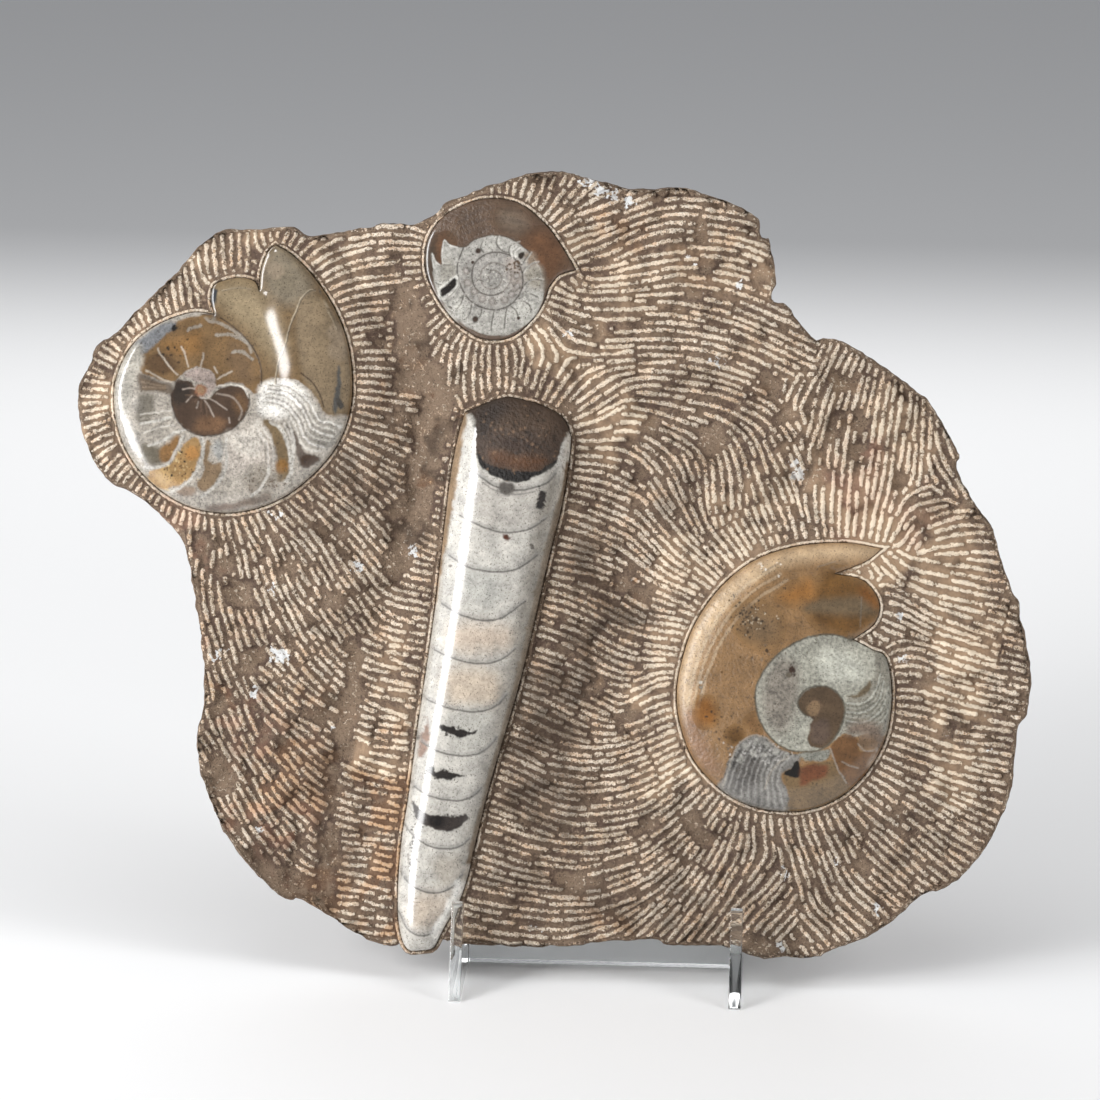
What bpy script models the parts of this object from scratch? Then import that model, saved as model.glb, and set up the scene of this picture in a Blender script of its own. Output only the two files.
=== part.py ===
# A limestone slab with three polished coiled shells and one straight shell set in its face,
# leaning in a clear acrylic easel. Metres, +Z up, the face towards -Y. The origin is on the
# surface that the easel stands on, under the middle of the whole object.
import math

import bmesh
import bpy
from mathutils import Vector, noise
from mathutils.geometry import delaunay_2d_cdt

MM = 0.001
LEAN = math.radians(15)

# Where the middle of the face's lower edge lies, in mm. The slab and its fossils are modelled
# flat, x to the right, y up the face and z out of it, and one empty leans them back.
FOOT = (-0.5, -46.0, 15.0)

GAP = 0.3
SLAB_THICK = 22.0
SLAB_RING_STEP = 7.5
SLAB_FRONT_STEP = 10.0
SLAB_BACK_STEP = 12.0

# The slab's outline in mm, clockwise from the tip of its left lobe.
SLAB_OUTLINE = [
    (-193, 219), (-188.5, 230), (-184, 239), (-177, 244), (-160, 262), (-150, 272.5),
    (-138, 284.5), (-119.5, 286.5), (-107, 287.5), (-99, 284), (-86, 286.5), (-67.5, 290),
    (-57.5, 290), (-50, 293.5), (-46, 298.5), (-34, 303), (-28, 306), (-12, 310.5),
    (2.5, 311.5), (19, 307.5), (33, 305), (51, 306), (70, 300), (81.5, 294), (82.5, 286.5),
    (86, 285), (89, 270), (87.5, 262), (93, 260), (103, 247.5), (107, 247.5), (114, 246.5),
    (123, 241.5), (146, 226.5), (153, 219.5), (163.5, 201), (162.5, 196), (167.5, 186),
    (177.5, 171.5), (181, 160.5), (185, 148.5), (188.5, 143), (190, 134), (194, 114),
    (192.5, 97), (189, 91), (187.5, 70), (184, 57), (179, 46), (170, 33.5), (158.5, 25.5),
    (153, 24), (135, 9), (116, 0.5), (110, -2.5), (89, -2.8), (78, -0.6), (70, 1), (50, 0.8),
    (44, 2.8), (20, 1), (12, -0.3), (-8, -1.3), (-33, -0.5), (-43, 1.5), (-49, 2), (-54, 0.5),
    (-60, -2), (-70, 0), (-84, 7.5), (-97, 15.5), (-101, 14.8), (-110, 19.5), (-127, 38.5),
    (-138, 61), (-141.5, 80), (-139.5, 94), (-139.5, 108), (-143.5, 136), (-150, 160),
    (-166, 175), (-180, 183), (-189, 197), (-192, 210),
]

# The slab's edge as rings from front to back: how far each lies inside the outline, its depth
# behind the face, and how far the broken rock wanders there. All in mm.
SLAB_EDGE = [(1.2, 0.8, 0.0), (0.0, 3.2, 0.0), (1.8, 11.0, 1.2), (5.0, 18.0, 1.6), (8.5, 21.6, 1.0)]

# Hollows worn into the face: two ends in mm, the depth and the half width.
HOLLOWS = [
    ((-66, 252), (-49, 178), 4.0, 13.0),
    ((-49, 178), (-66, 128), 2.6, 9.0),
    ((-66, 128), (-84, 88), 3.4, 10.0),
    ((16, 150), (34, 82), 2.4, 12.0),
    ((-118, 66), (-96, 24), 3.0, 14.0),
    ((120, 220), (100, 186), 2.4, 8.0),
]
FACE_ROLL = 2.2
BACK_ROLL = 2.4

# Each fossil's rim in mm, clockwise, as runs that meet in corners.
LEFT_RIM = [
    [(-113, 279), (-105.5, 274.5), (-97, 266), (-89, 254.5), (-83.5, 241.5), (-81, 227.5),
     (-81.5, 213), (-86.5, 199), (-96, 187), (-109, 177), (-125, 171.5), (-141, 172),
     (-155, 178), (-167.5, 189.5), (-175, 204.5), (-176.5, 221.5), (-170.5, 236.5),
     (-160.5, 245.5), (-146.5, 251), (-137, 250.5)],
    [(-137, 250.5), (-138.5, 257), (-137.5, 262), (-134, 264), (-127, 265.5), (-121, 264),
     (-119, 259.5)],
    [(-119, 259.5), (-118.5, 268.5), (-116, 276), (-113, 279)],
]
TOP_RIM = [
    [(7.5, 271.5), (1, 269), (-3, 264)],
    [(-3, 264), (-4.5, 259), (-8.5, 252), (-17.5, 244), (-28.5, 243), (-38.5, 248.5),
     (-46.5, 257.5), (-52, 269), (-52, 281), (-47, 290), (-39.5, 295.5), (-28.5, 299),
     (-17.5, 298), (-9.5, 293.5), (-2, 286), (4.5, 276.5), (7.5, 271.5)],
]
RIGHT_RIM = [
    [(132.5, 162.5), (125.5, 157), (113.5, 152)],
    [(113.5, 152), (124.5, 150), (130.5, 144), (132, 138), (129.5, 132), (121.5, 126)],
    [(121.5, 126), (129.5, 122), (135, 119), (137.5, 107), (137, 94), (134, 83), (127, 71.5),
     (117, 62.5), (104.5, 57.5), (91, 57), (79, 60), (69, 66), (59, 77), (53.5, 91),
     (52, 104), (54, 117), (58.5, 130.5), (68, 145), (81.5, 156.5), (98, 162.5),
     (117, 164.5), (132.5, 162.5)],
]
STRAIGHT_RIM = [
    [(-35.5, 213), (-27, 217), (-19, 219.5), (-9, 218), (0.5, 214.5), (5, 210.5), (7.5, 204)],
    [(7.5, 204), (6.5, 192), (4, 175), (0, 157.5), (-9, 114), (-14.5, 92), (-21.5, 66.5),
     (-26, 47), (-30, 28), (-33.5, 17), (-39, 7), (-43, -1), (-47, -2.4)],
    [(-47, -2.4), (-53.5, -2.2), (-57, 6), (-58, 20), (-57, 41), (-54.5, 60), (-51, 91),
     (-46, 131), (-43, 163), (-40.5, 188), (-38, 203), (-35.5, 213)],
]

# How far each fossil goes into the slab, the width of its rounded shoulder and its height.
LEFT_SHELL = (11.0, 15.0, 5.0)
TOP_SHELL = (8.0, 9.0, 2.6)
RIGHT_SHELL = (11.0, 15.0, 5.0)
STRAIGHT_DEPTH = 10.0
# The straight shell's half width at the foot of the slab, what it gains on the way up, and
# how high it stands out for its half width.
STRAIGHT_HALF_WIDTH = 12.5
STRAIGHT_WIDENING = 0.052
STRAIGHT_ROUNDNESS = 0.55

# The easel, in mm. Its side plates are drawn in profile: y to the back and z up.
SHEET = 4.8
SIDE_MIDDLES = (-33.0, 78.0)
TOE_Y = -72.0
HEEL_Y = 72.0
LIP_TOP_Z = 35.0
LIP_INNER_Y = -47.3
LIP_THICK = 6.5
LEDGE_V = -1.0
REST_W = -22.4
UPRIGHT_LENGTH = 165.0
UPRIGHT_TOP_WIDTH = 13.0
UPRIGHT_FOOT_WIDTH = 22.0
HEEL_HEIGHT = 9.0
PANEL_FLOOR_GAP = 1.2
PANEL_HEIGHT = 75.0
EDGE_BREAK = 0.4


def smooth_curve(line, step):
    """Points every step or so on a smooth curve through all but the line's two end points."""
    found = [line[1]]
    for a, b, c, d in zip(line, line[1:], line[2:], line[3:]):
        count = max(1, round((c - b).length / step))
        for i in range(1, count + 1):
            t = i / count
            blend = (2 * b + (c - a) * t + (2 * a - 5 * b + 4 * c - d) * t * t
                     + (3 * b - a - 3 * c + d) * t ** 3)
            found.append(blend / 2)
    return found


def counterclockwise(ring):
    area = sum(a.cross(b) for a, b in zip(ring, ring[1:] + ring[:1]))
    return ring if area > 0 else ring[::-1]


def ring_of_runs(runs, step):
    """One closed ring from runs that meet in corners."""
    ring = []
    for run in runs:
        points = [Vector(p) for p in run]
        before = 2 * points[0] - points[1]
        after = 2 * points[-1] - points[-2]
        ring += smooth_curve([before, *points, after], step)[:-1]
    return counterclockwise(ring)


def closed_ring(points, step):
    """One closed smooth ring with no corner."""
    points = [Vector(p) for p in points]
    ring = smooth_curve([points[-1], *points, points[0], points[1]], step)[:-1]
    return counterclockwise(ring)


def inset_ring(ring, amounts):
    """The ring moved inwards by one amount for each of its points, its corners kept sharp."""
    count = len(ring)
    moved = []
    for i, point in enumerate(ring):
        before = (point - ring[i - 1]).normalized()
        after = (ring[(i + 1) % count] - point).normalized()
        reach = 1 / max(0.3, 1 + before.dot(after))
        inwards = Vector((-before.y - after.y, before.x + after.x)) * reach
        moved.append(point + inwards * amounts[i])
    return moved


def distance_to(ring, point):
    """How far a point is from a closed ring."""
    best = math.inf
    for a, b in zip(ring, ring[1:] + ring[:1]):
        side = b - a
        t = max(0.0, min(1.0, (point - a).dot(side) / side.length_squared))
        best = min(best, (point - a - side * t).length)
    return best


def is_inside(ring, point):
    inside = False
    for a, b in zip(ring, ring[1:] + ring[:1]):
        if (a.y > point.y) != (b.y > point.y):
            if point.x < a.x + (b.x - a.x) * (point.y - a.y) / (b.y - a.y):
                inside = not inside
    return inside


def lattice_inside(ring, step, clear):
    """Points on a triangular lattice that lie inside the ring and clear of it."""
    low_x = min(p.x for p in ring)
    high_x = max(p.x for p in ring)
    low_y = min(p.y for p in ring)
    high_y = max(p.y for p in ring)
    row_step = step * math.sqrt(3) / 2
    found = []
    for row in range(int((high_y - low_y) / row_step) + 1):
        for column in range(int((high_x - low_x) / step) + 2):
            x = low_x + (column - 0.5 * (row % 2)) * step
            point = Vector((x, low_y + row * row_step))
            if is_inside(ring, point) and distance_to(ring, point) > clear:
                found.append(point)
    return found


def sheet(ring, inner):
    """The triangles that fill a ring through its inner points: points and faces."""
    count = len(ring)
    edges = [(i, (i + 1) % count) for i in range(count)]
    points, _, faces, *_ = delaunay_2d_cdt(ring + inner, edges, [], 1, 1e-6)
    return points, faces


def add_object(name, bm, collection, material=None):
    bmesh.ops.recalc_face_normals(bm, faces=bm.faces[:])
    mesh = bpy.data.meshes.new(name)
    bm.to_mesh(mesh)
    bm.free()
    obj = bpy.data.objects.new(name, mesh)
    collection.objects.link(obj)
    if material:
        mesh.materials.append(material)
        mesh.shade_smooth()
        mesh.set_sharp_from_angle(angle=math.radians(40))
    return obj


def plug(ring, inner, height, depth):
    """A solid with a flat back at -depth and a face whose height is a function of its place."""
    points, faces = sheet(ring, inner)
    bm = bmesh.new()
    verts = [bm.verts.new((p.x * MM, p.y * MM, height(p) * MM)) for p in points]
    for face in faces:
        bm.faces.new([verts[i] for i in face])
    rim = [edge for edge in bm.edges if edge.is_boundary]
    wall = bmesh.ops.extrude_edge_only(bm, edges=rim)["geom"]
    for vert in wall:
        if isinstance(vert, bmesh.types.BMVert):
            vert.co.z = -depth * MM
    bmesh.ops.holes_fill(bm, edges=[edge for edge in bm.edges if edge.is_boundary])
    return bm


def shoulder(distance, width, height):
    """The height of a rounded shoulder at a distance inside the rim."""
    t = 1 - min(distance / width, 1.0)
    return height * math.sqrt(1 - t * t)


def shell_points(ring, width, step):
    """Inner points for a polished shell: rings that follow the rim, then a lattice."""
    count = len(ring)
    found = []
    for share in (0.08, 0.3, 0.62, 1.0):
        depth = share * width
        for point in inset_ring(ring, [depth] * count):
            if is_inside(ring, point) and distance_to(ring, point) > 0.93 * depth:
                if all((point - other).length > 0.5 * step for other in found[-count:]):
                    found.append(point)
    return found + lattice_inside(ring, 2 * step, width + 0.6 * step)


def coiled_shell(name, runs, sizes, step, parent, collection, material):
    depth, width, height = sizes
    ring = ring_of_runs(runs, step)
    inner = shell_points(ring, width, step)
    bm = plug(ring, inner, lambda p: shoulder(distance_to(ring, p), width, height), depth)
    add_object(name, bm, collection, material).parent = parent
    return ring


def straight_shell(name, parent, collection, material):
    ring = ring_of_runs(STRAIGHT_RIM, 8.0)

    def height(p):
        half_width = STRAIGHT_HALF_WIDTH + STRAIGHT_WIDENING * p.y
        return shoulder(distance_to(ring, p), half_width, STRAIGHT_ROUNDNESS * half_width)

    inner = shell_points(ring, STRAIGHT_HALF_WIDTH, 8.0)
    bm = plug(ring, inner, height, STRAIGHT_DEPTH)
    add_object(name, bm, collection, material).parent = parent
    return ring


def pocket_cutter(name, ring, depth, parent, collection):
    """What the slab loses for a fossil: its rim grown by the gap, and its depth."""
    grown = inset_ring(ring, [-GAP] * len(ring))
    bm = plug(grown, [], lambda p: 20.0, depth + GAP)
    cutter = add_object(name, bm, collection)
    cutter.hide_render = True
    cutter.display_type = "WIRE"
    cutter.parent = parent
    return cutter


def hollow_depth(p):
    """How far the worn hollows lower the face at a point."""
    deepest = 0.0
    for start, end, depth, half_width in HOLLOWS:
        a = Vector(start)
        side = Vector(end) - a
        t = max(0.0, min(1.0, (p - a).dot(side) / side.length_squared))
        away = (p - a - side * t).length / half_width
        deepest = max(deepest, depth * math.exp(-away * away))
    return deepest


def face_height(p, rings):
    """The rock's face: gently rolling, hollowed, and level along the fossils' rims."""
    near = min(distance_to(ring, p) for ring in rings)
    level = min(1.0, near / 14.0)
    roll = FACE_ROLL * (noise.noise(Vector((p.x, p.y, 0)) / 46.0) - 0.35)
    return level * (roll - hollow_depth(p)) - 0.2


def back_height(p):
    """The rock's back: broken, and nowhere further out than its flat high spots."""
    rough = noise.noise(Vector((p.x, p.y, 90)) / 55.0)
    rough += 0.5 * noise.noise(Vector((p.x, p.y, 40)) / 19.0)
    return -SLAB_THICK + BACK_ROLL * max(0.0, 0.2 + rough)


def slab(rings, parent, collection, material):
    """The slab: its face, its back, and the rings of broken edge between them."""
    outline = closed_ring(SLAB_OUTLINE, SLAB_RING_STEP)
    count = len(outline)
    bm = bmesh.new()
    loops = []
    for level, (inset, depth, wander) in enumerate(SLAB_EDGE):
        amounts = []
        for p in outline:
            rough = noise.noise(Vector((p.x, p.y, 17.0 * level)) / 13.0)
            amounts.append(inset + wander * rough)
        loops.append((inset_ring(outline, amounts), depth))

    made = []
    for loop, depth in loops[1:-1]:
        made.append([bm.verts.new((p.x * MM, p.y * MM, -depth * MM)) for p in loop])

    front_ring, front_depth = loops[0]
    front_inner = lattice_inside(front_ring, SLAB_FRONT_STEP, 0.6 * SLAB_FRONT_STEP)
    points, faces = sheet(front_ring, front_inner)
    front = []
    for i, p in enumerate(points):
        z = -front_depth if i < count else face_height(p, rings)
        front.append(bm.verts.new((p.x * MM, p.y * MM, z * MM)))
    for face in faces:
        bm.faces.new([front[i] for i in face])

    back_ring, back_depth = loops[-1]
    back_inner = lattice_inside(back_ring, SLAB_BACK_STEP, 0.6 * SLAB_BACK_STEP)
    points, faces = sheet(back_ring, back_inner)
    back = []
    for i, p in enumerate(points):
        z = -back_depth if i < count else back_height(p)
        back.append(bm.verts.new((p.x * MM, p.y * MM, z * MM)))
    for face in faces:
        bm.faces.new([back[i] for i in reversed(face)])

    walls = [front[:count], *made, back[:count]]
    for upper, lower in zip(walls, walls[1:]):
        for i in range(count):
            j = (i + 1) % count
            bm.faces.new((upper[j], upper[i], lower[i], lower[j]))
    obj = add_object("matrix_slab", bm, collection, material)
    obj.parent = parent
    return obj


def cut(obj, cutter):
    modifier = obj.modifiers.new("pocket " + cutter.name, "BOOLEAN")
    modifier.operation = "DIFFERENCE"
    modifier.solver = "EXACT"
    modifier.object = cutter


def in_profile(v, w):
    """A point of the leaning slab's own plane in the easel's profile."""
    y = FOOT[1] + v * math.sin(LEAN) - w * math.cos(LEAN)
    z = FOOT[2] + v * math.cos(LEAN) + w * math.sin(LEAN)
    return Vector((y, z))


def rounded(corners, arc_steps=5):
    """A closed outline from (point, radius) corners, each rounded by an arc."""
    count = len(corners)
    found = []
    for i, (point, radius) in enumerate(corners):
        to_last = (corners[i - 1][0] - point).normalized()
        to_next = (corners[(i + 1) % count][0] - point).normalized()
        if radius == 0:
            found.append(point)
            continue
        half = to_last.angle(to_next) / 2
        middle = point + (to_last + to_next).normalized() * (radius / math.sin(half))
        start = point + to_last * (radius / math.tan(half)) - middle
        end = point + to_next * (radius / math.tan(half)) - middle
        turn = start.angle_signed(end)
        for k in range(arc_steps + 1):
            angle = -turn * k / arc_steps
            c = math.cos(angle)
            s = math.sin(angle)
            found.append(middle + Vector((start.x * c - start.y * s, start.x * s + start.y * c)))
    return found


def sheet_part(name, outline, thickness, middle_x, collection, material):
    """A flat acrylic piece cut to an outline in profile, its edges lightly broken."""
    curve = bpy.data.curves.new(name, "CURVE")
    curve.dimensions = "2D"
    curve.fill_mode = "BOTH"
    curve.extrude = (thickness / 2 - EDGE_BREAK) * MM
    curve.bevel_depth = EDGE_BREAK * MM
    curve.bevel_resolution = 0
    curve.offset = -EDGE_BREAK * MM
    spline = curve.splines.new("POLY")
    spline.points.add(len(outline) - 1)
    for target, p in zip(spline.points, outline):
        target.co = (p.x * MM, p.y * MM, 0, 1)
    spline.use_cyclic_u = True
    curve.materials.append(material)
    obj = bpy.data.objects.new(name, curve)
    obj.location = (middle_x * MM, 0, 0)
    obj.rotation_euler = (math.radians(90), 0, math.radians(90))
    collection.objects.link(obj)
    return obj


def side_outline():
    """One side plate: toe, lip, ledge, leaning upright and heel."""
    return rounded([
        (Vector((TOE_Y, 0)), 0.8),
        (Vector((LIP_INNER_Y - LIP_THICK, LIP_TOP_Z)), 3.0),
        (Vector((LIP_INNER_Y, LIP_TOP_Z)), 3.0),
        (Vector((LIP_INNER_Y, in_profile(LEDGE_V, 1.2).y)), 0.0),
        (in_profile(LEDGE_V, REST_W), 1.0),
        (in_profile(UPRIGHT_LENGTH, REST_W), 3.0),
        (in_profile(UPRIGHT_LENGTH, REST_W - UPRIGHT_TOP_WIDTH), 4.0),
        (in_profile(24.0, REST_W - UPRIGHT_FOOT_WIDTH), 24.0),
        (Vector((HEEL_Y, HEEL_HEIGHT)), 3.0),
        (Vector((HEEL_Y, 0)), 0.8),
    ])


def panel_outline():
    """The cross panel in profile: it leans with the slab and ends level above the floor."""
    rise = (PANEL_FLOOR_GAP - FOOT[2] - REST_W * math.sin(LEAN)) / math.cos(LEAN)
    back_rise = rise + SHEET * math.tan(LEAN)
    return [
        in_profile(rise, REST_W),
        in_profile(rise + PANEL_HEIGHT, REST_W),
        in_profile(rise + PANEL_HEIGHT, REST_W - SHEET),
        in_profile(back_rise, REST_W - SHEET),
    ]


def easel(collection, material):
    for name, middle_x in zip(("stand_side_left", "stand_side_right"), SIDE_MIDDLES):
        sheet_part(name, side_outline(), SHEET, middle_x + FOOT[0], collection, material)
    span = SIDE_MIDDLES[1] - SIDE_MIDDLES[0] - SHEET - 2 * GAP
    middle_x = sum(SIDE_MIDDLES) / 2 + FOOT[0]
    sheet_part("stand_cross_panel", panel_outline(), span, middle_x, collection, material)


def make_material(name, color, roughness, transmission=0.0):
    material = bpy.data.materials.new(name)
    material.use_nodes = True
    shader = material.node_tree.nodes["Principled BSDF"]
    shader.inputs["Base Color"].default_value = (*color, 1.0)
    shader.inputs["Roughness"].default_value = roughness
    shader.inputs["Metallic"].default_value = 0.0
    shader.inputs["Transmission Weight"].default_value = transmission
    return material


def new_collection(name):
    collection = bpy.data.collections.new(name)
    bpy.context.scene.collection.children.link(collection)
    return collection


def main():
    for obj in list(bpy.data.objects):
        bpy.data.objects.remove(obj, do_unlink=True)

    parts = new_collection("ammonite_cluster_plate")
    cutters = new_collection("cutters")

    limestone = make_material("chiselled limestone", (0.26, 0.20, 0.15), 0.85)
    brown_shell = make_material("polished brown shell", (0.24, 0.16, 0.09), 0.12)
    grey_shell = make_material("polished grey shell", (0.42, 0.41, 0.38), 0.12)
    pale_shell = make_material("polished pale shell", (0.60, 0.58, 0.54), 0.12)
    acrylic = make_material("clear acrylic", (0.95, 0.97, 0.97), 0.02, 1.0)

    slab_plane = bpy.data.objects.new("slab_plane", None)
    slab_plane.location = [value * MM for value in FOOT]
    slab_plane.rotation_euler = (math.radians(90) - LEAN, 0, 0)
    parts.objects.link(slab_plane)

    left = coiled_shell("ammonite_left", LEFT_RIM, LEFT_SHELL, 6.0, slab_plane, parts, brown_shell)
    top = coiled_shell("ammonite_top", TOP_RIM, TOP_SHELL, 4.5, slab_plane, parts, grey_shell)
    right = coiled_shell("ammonite_right", RIGHT_RIM, RIGHT_SHELL, 6.0, slab_plane, parts, brown_shell)
    straight = straight_shell("orthoceras", slab_plane, parts, pale_shell)

    rock = slab([left, top, right, straight], slab_plane, parts, limestone)
    cut(rock, pocket_cutter("left pocket", left, LEFT_SHELL[0], slab_plane, cutters))
    cut(rock, pocket_cutter("top pocket", top, TOP_SHELL[0], slab_plane, cutters))
    cut(rock, pocket_cutter("right pocket", right, RIGHT_SHELL[0], slab_plane, cutters))
    cut(rock, pocket_cutter("straight pocket", straight, STRAIGHT_DEPTH, slab_plane, cutters))

    easel(parts, acrylic)


main()
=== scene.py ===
import math
import random

import bmesh
import bpy
import numpy as np
from mathutils import Matrix, Vector, noise
from mathutils.geometry import convex_hull_2d, delaunay_2d_cdt


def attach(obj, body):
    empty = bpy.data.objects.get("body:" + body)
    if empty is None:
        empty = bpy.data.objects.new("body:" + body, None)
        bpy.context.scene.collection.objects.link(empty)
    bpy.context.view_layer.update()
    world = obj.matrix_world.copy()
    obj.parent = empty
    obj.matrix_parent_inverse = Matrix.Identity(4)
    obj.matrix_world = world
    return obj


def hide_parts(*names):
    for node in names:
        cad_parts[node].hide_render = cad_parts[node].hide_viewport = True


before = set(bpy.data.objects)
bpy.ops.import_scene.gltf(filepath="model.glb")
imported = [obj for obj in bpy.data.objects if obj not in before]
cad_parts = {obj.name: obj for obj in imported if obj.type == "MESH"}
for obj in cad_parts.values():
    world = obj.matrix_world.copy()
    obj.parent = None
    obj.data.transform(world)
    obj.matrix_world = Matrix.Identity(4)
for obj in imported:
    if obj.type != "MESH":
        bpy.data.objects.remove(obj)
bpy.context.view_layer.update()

MM = 0.001
LEAN = math.radians(15)
FOOT = np.array((-0.5, -46.0, 15.0))
ACROSS = np.array((1.0, 0.0, 0.0))
UP_FACE = np.array((0.0, math.sin(LEAN), math.cos(LEAN)))
OUT_OF_FACE = np.array((0.0, -math.cos(LEAN), math.sin(LEAN)))

# Sizes that the CAD gives, in mm.
GAP = 0.3
SLAB_THICK = 22.0
BACK_ROLL = 2.4
FACE_ROLL = 2.2
SLAB_OUTLINE = [
    (-193, 219), (-188.5, 230), (-184, 239), (-177, 244), (-160, 262), (-150, 272.5),
    (-138, 284.5), (-119.5, 286.5), (-107, 287.5), (-99, 284), (-86, 286.5), (-67.5, 290),
    (-57.5, 290), (-50, 293.5), (-46, 298.5), (-34, 303), (-28, 306), (-12, 310.5),
    (2.5, 311.5), (19, 307.5), (33, 305), (51, 306), (70, 300), (81.5, 294), (82.5, 286.5),
    (86, 285), (89, 270), (87.5, 262), (93, 260), (103, 247.5), (107, 247.5), (114, 246.5),
    (123, 241.5), (146, 226.5), (153, 219.5), (163.5, 201), (162.5, 196), (167.5, 186),
    (177.5, 171.5), (181, 160.5), (185, 148.5), (188.5, 143), (190, 134), (194, 114),
    (192.5, 97), (189, 91), (187.5, 70), (184, 57), (179, 46), (170, 33.5), (158.5, 25.5),
    (153, 24), (135, 9), (116, 0.5), (110, -2.5), (89, -2.8), (78, -0.6), (70, 1), (50, 0.8),
    (44, 2.8), (20, 1), (12, -0.3), (-8, -1.3), (-33, -0.5), (-43, 1.5), (-49, 2), (-54, 0.5),
    (-60, -2), (-70, 0), (-84, 7.5), (-97, 15.5), (-101, 14.8), (-110, 19.5), (-127, 38.5),
    (-138, 61), (-141.5, 80), (-139.5, 94), (-139.5, 108), (-143.5, 136), (-150, 160),
    (-166, 175), (-180, 183), (-189, 197), (-192, 210),
]
HOLLOWS = [
    ((-66, 252), (-52, 184), 5.0, 13.0),
    ((-52, 184), (-70, 128), 4.0, 12.0),
    ((-70, 128), (-84, 88), 4.0, 12.0),
    ((-84, 88), (-80, 30), 2.6, 13.0),
    ((30, 186), (32, 120), 4.4, 17.0),
    ((32, 120), (14, 62), 4.8, 18.0),
    ((14, 62), (2, 16), 3.4, 16.0),
    ((-118, 66), (-96, 24), 3.4, 14.0),
    ((120, 220), (100, 186), 2.8, 9.0),
    ((60, 40), (140, 20), 2.6, 16.0),
    ((44, 208), (88, 226), 2.2, 8.0),
]
LEFT_RIM = [
    [(-113, 279), (-105.5, 274.5), (-97, 266), (-89, 254.5), (-83.5, 241.5), (-81, 227.5),
     (-81.5, 213), (-86.5, 199), (-96, 187), (-109, 177), (-125, 171.5), (-141, 172),
     (-155, 178), (-167.5, 189.5), (-175, 204.5), (-176.5, 221.5), (-170.5, 236.5),
     (-160.5, 245.5), (-146.5, 251), (-137, 250.5)],
    [(-137, 250.5), (-138.5, 257), (-137.5, 262), (-134, 264), (-127, 265.5), (-121, 264),
     (-119, 259.5)],
    [(-119, 259.5), (-118.5, 268.5), (-116, 276), (-113, 279)],
]
TOP_RIM = [
    [(7.5, 271.5), (1, 269), (-3, 264)],
    [(-3, 264), (-4.5, 259), (-8.5, 252), (-17.5, 244), (-28.5, 243), (-38.5, 248.5),
     (-46.5, 257.5), (-52, 269), (-52, 281), (-47, 290), (-39.5, 295.5), (-28.5, 299),
     (-17.5, 298), (-9.5, 293.5), (-2, 286), (4.5, 276.5), (7.5, 271.5)],
]
RIGHT_RIM = [
    [(132.5, 162.5), (125.5, 157), (113.5, 152)],
    [(113.5, 152), (124.5, 150), (130.5, 144), (132, 138), (129.5, 132), (121.5, 126)],
    [(121.5, 126), (129.5, 122), (135, 119), (137.5, 107), (137, 94), (134, 83), (127, 71.5),
     (117, 62.5), (104.5, 57.5), (91, 57), (79, 60), (69, 66), (59, 77), (53.5, 91),
     (52, 104), (54, 117), (58.5, 130.5), (68, 145), (81.5, 156.5), (98, 162.5),
     (117, 164.5), (132.5, 162.5)],
]
STRAIGHT_RIM = [
    [(-35.5, 213), (-27, 217), (-19, 219.5), (-9, 218), (0.5, 214.5), (5, 210.5), (7.5, 204)],
    [(7.5, 204), (6.5, 192), (4, 175), (0, 157.5), (-9, 114), (-14.5, 92), (-21.5, 66.5),
     (-26, 47), (-30, 28), (-33.5, 17), (-39, 7), (-43, -1), (-47, -2.4)],
    [(-47, -2.4), (-53.5, -2.2), (-57, 6), (-58, 20), (-57, 41), (-54.5, 60), (-51, 91),
     (-46, 131), (-43, 163), (-40.5, 188), (-38, 203), (-35.5, 213)],
]
LEFT_SHELL = (11.0, 15.0, 5.0)
TOP_SHELL = (8, 9, 1.2)
RIGHT_SHELL = (11.0, 15.0, 5.0)
STRAIGHT_DEPTH = 10.0
STRAIGHT_HALF_WIDTH = 12.5
STRAIGHT_WIDENING = 0.052
STRAIGHT_ROUNDNESS = 0.55

# Broken edge of the plate: how far each ring lies inside the outline and how deep, in mm.
SIDE_LIMITS = (-192.3, 193.4)
EDGE_RINGS = [(1.2, 0.8), (0.35, 1.9), (0.0, 3.2), (0.1, 4.7), (0.3, 6.2), (0.6, 7.8), (1.1, 9.4),
              (1.8, 11.0), (2.6, 12.8), (3.5, 14.6), (4.4, 16.4), (5.2, 18.0), (6.2, 19.6), (7.6, 21.0)]
OUTLINE_STEP = 1.2
BACK_STEP = 3.2

# Chisel work: the pitch of the rows and the sizes of one pale ridge, in mm.
RIDGE_PITCH = 3.15
RIDGE_HALF_WIDTH = 0.46
RIDGE_SIDE = 0.74
RIDGE_HEIGHT = 0.7
RIDGE_STEP = 1.5
RIDGE_LENGTHS = (14.0, 60.0)
ACROSS_LIMIT = 0.7
ALONG_SQUEEZE = 1.9
UNTOUCHED = 0.14
RIM_TRIM = (0.55, 1.15, 1.6)

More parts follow.
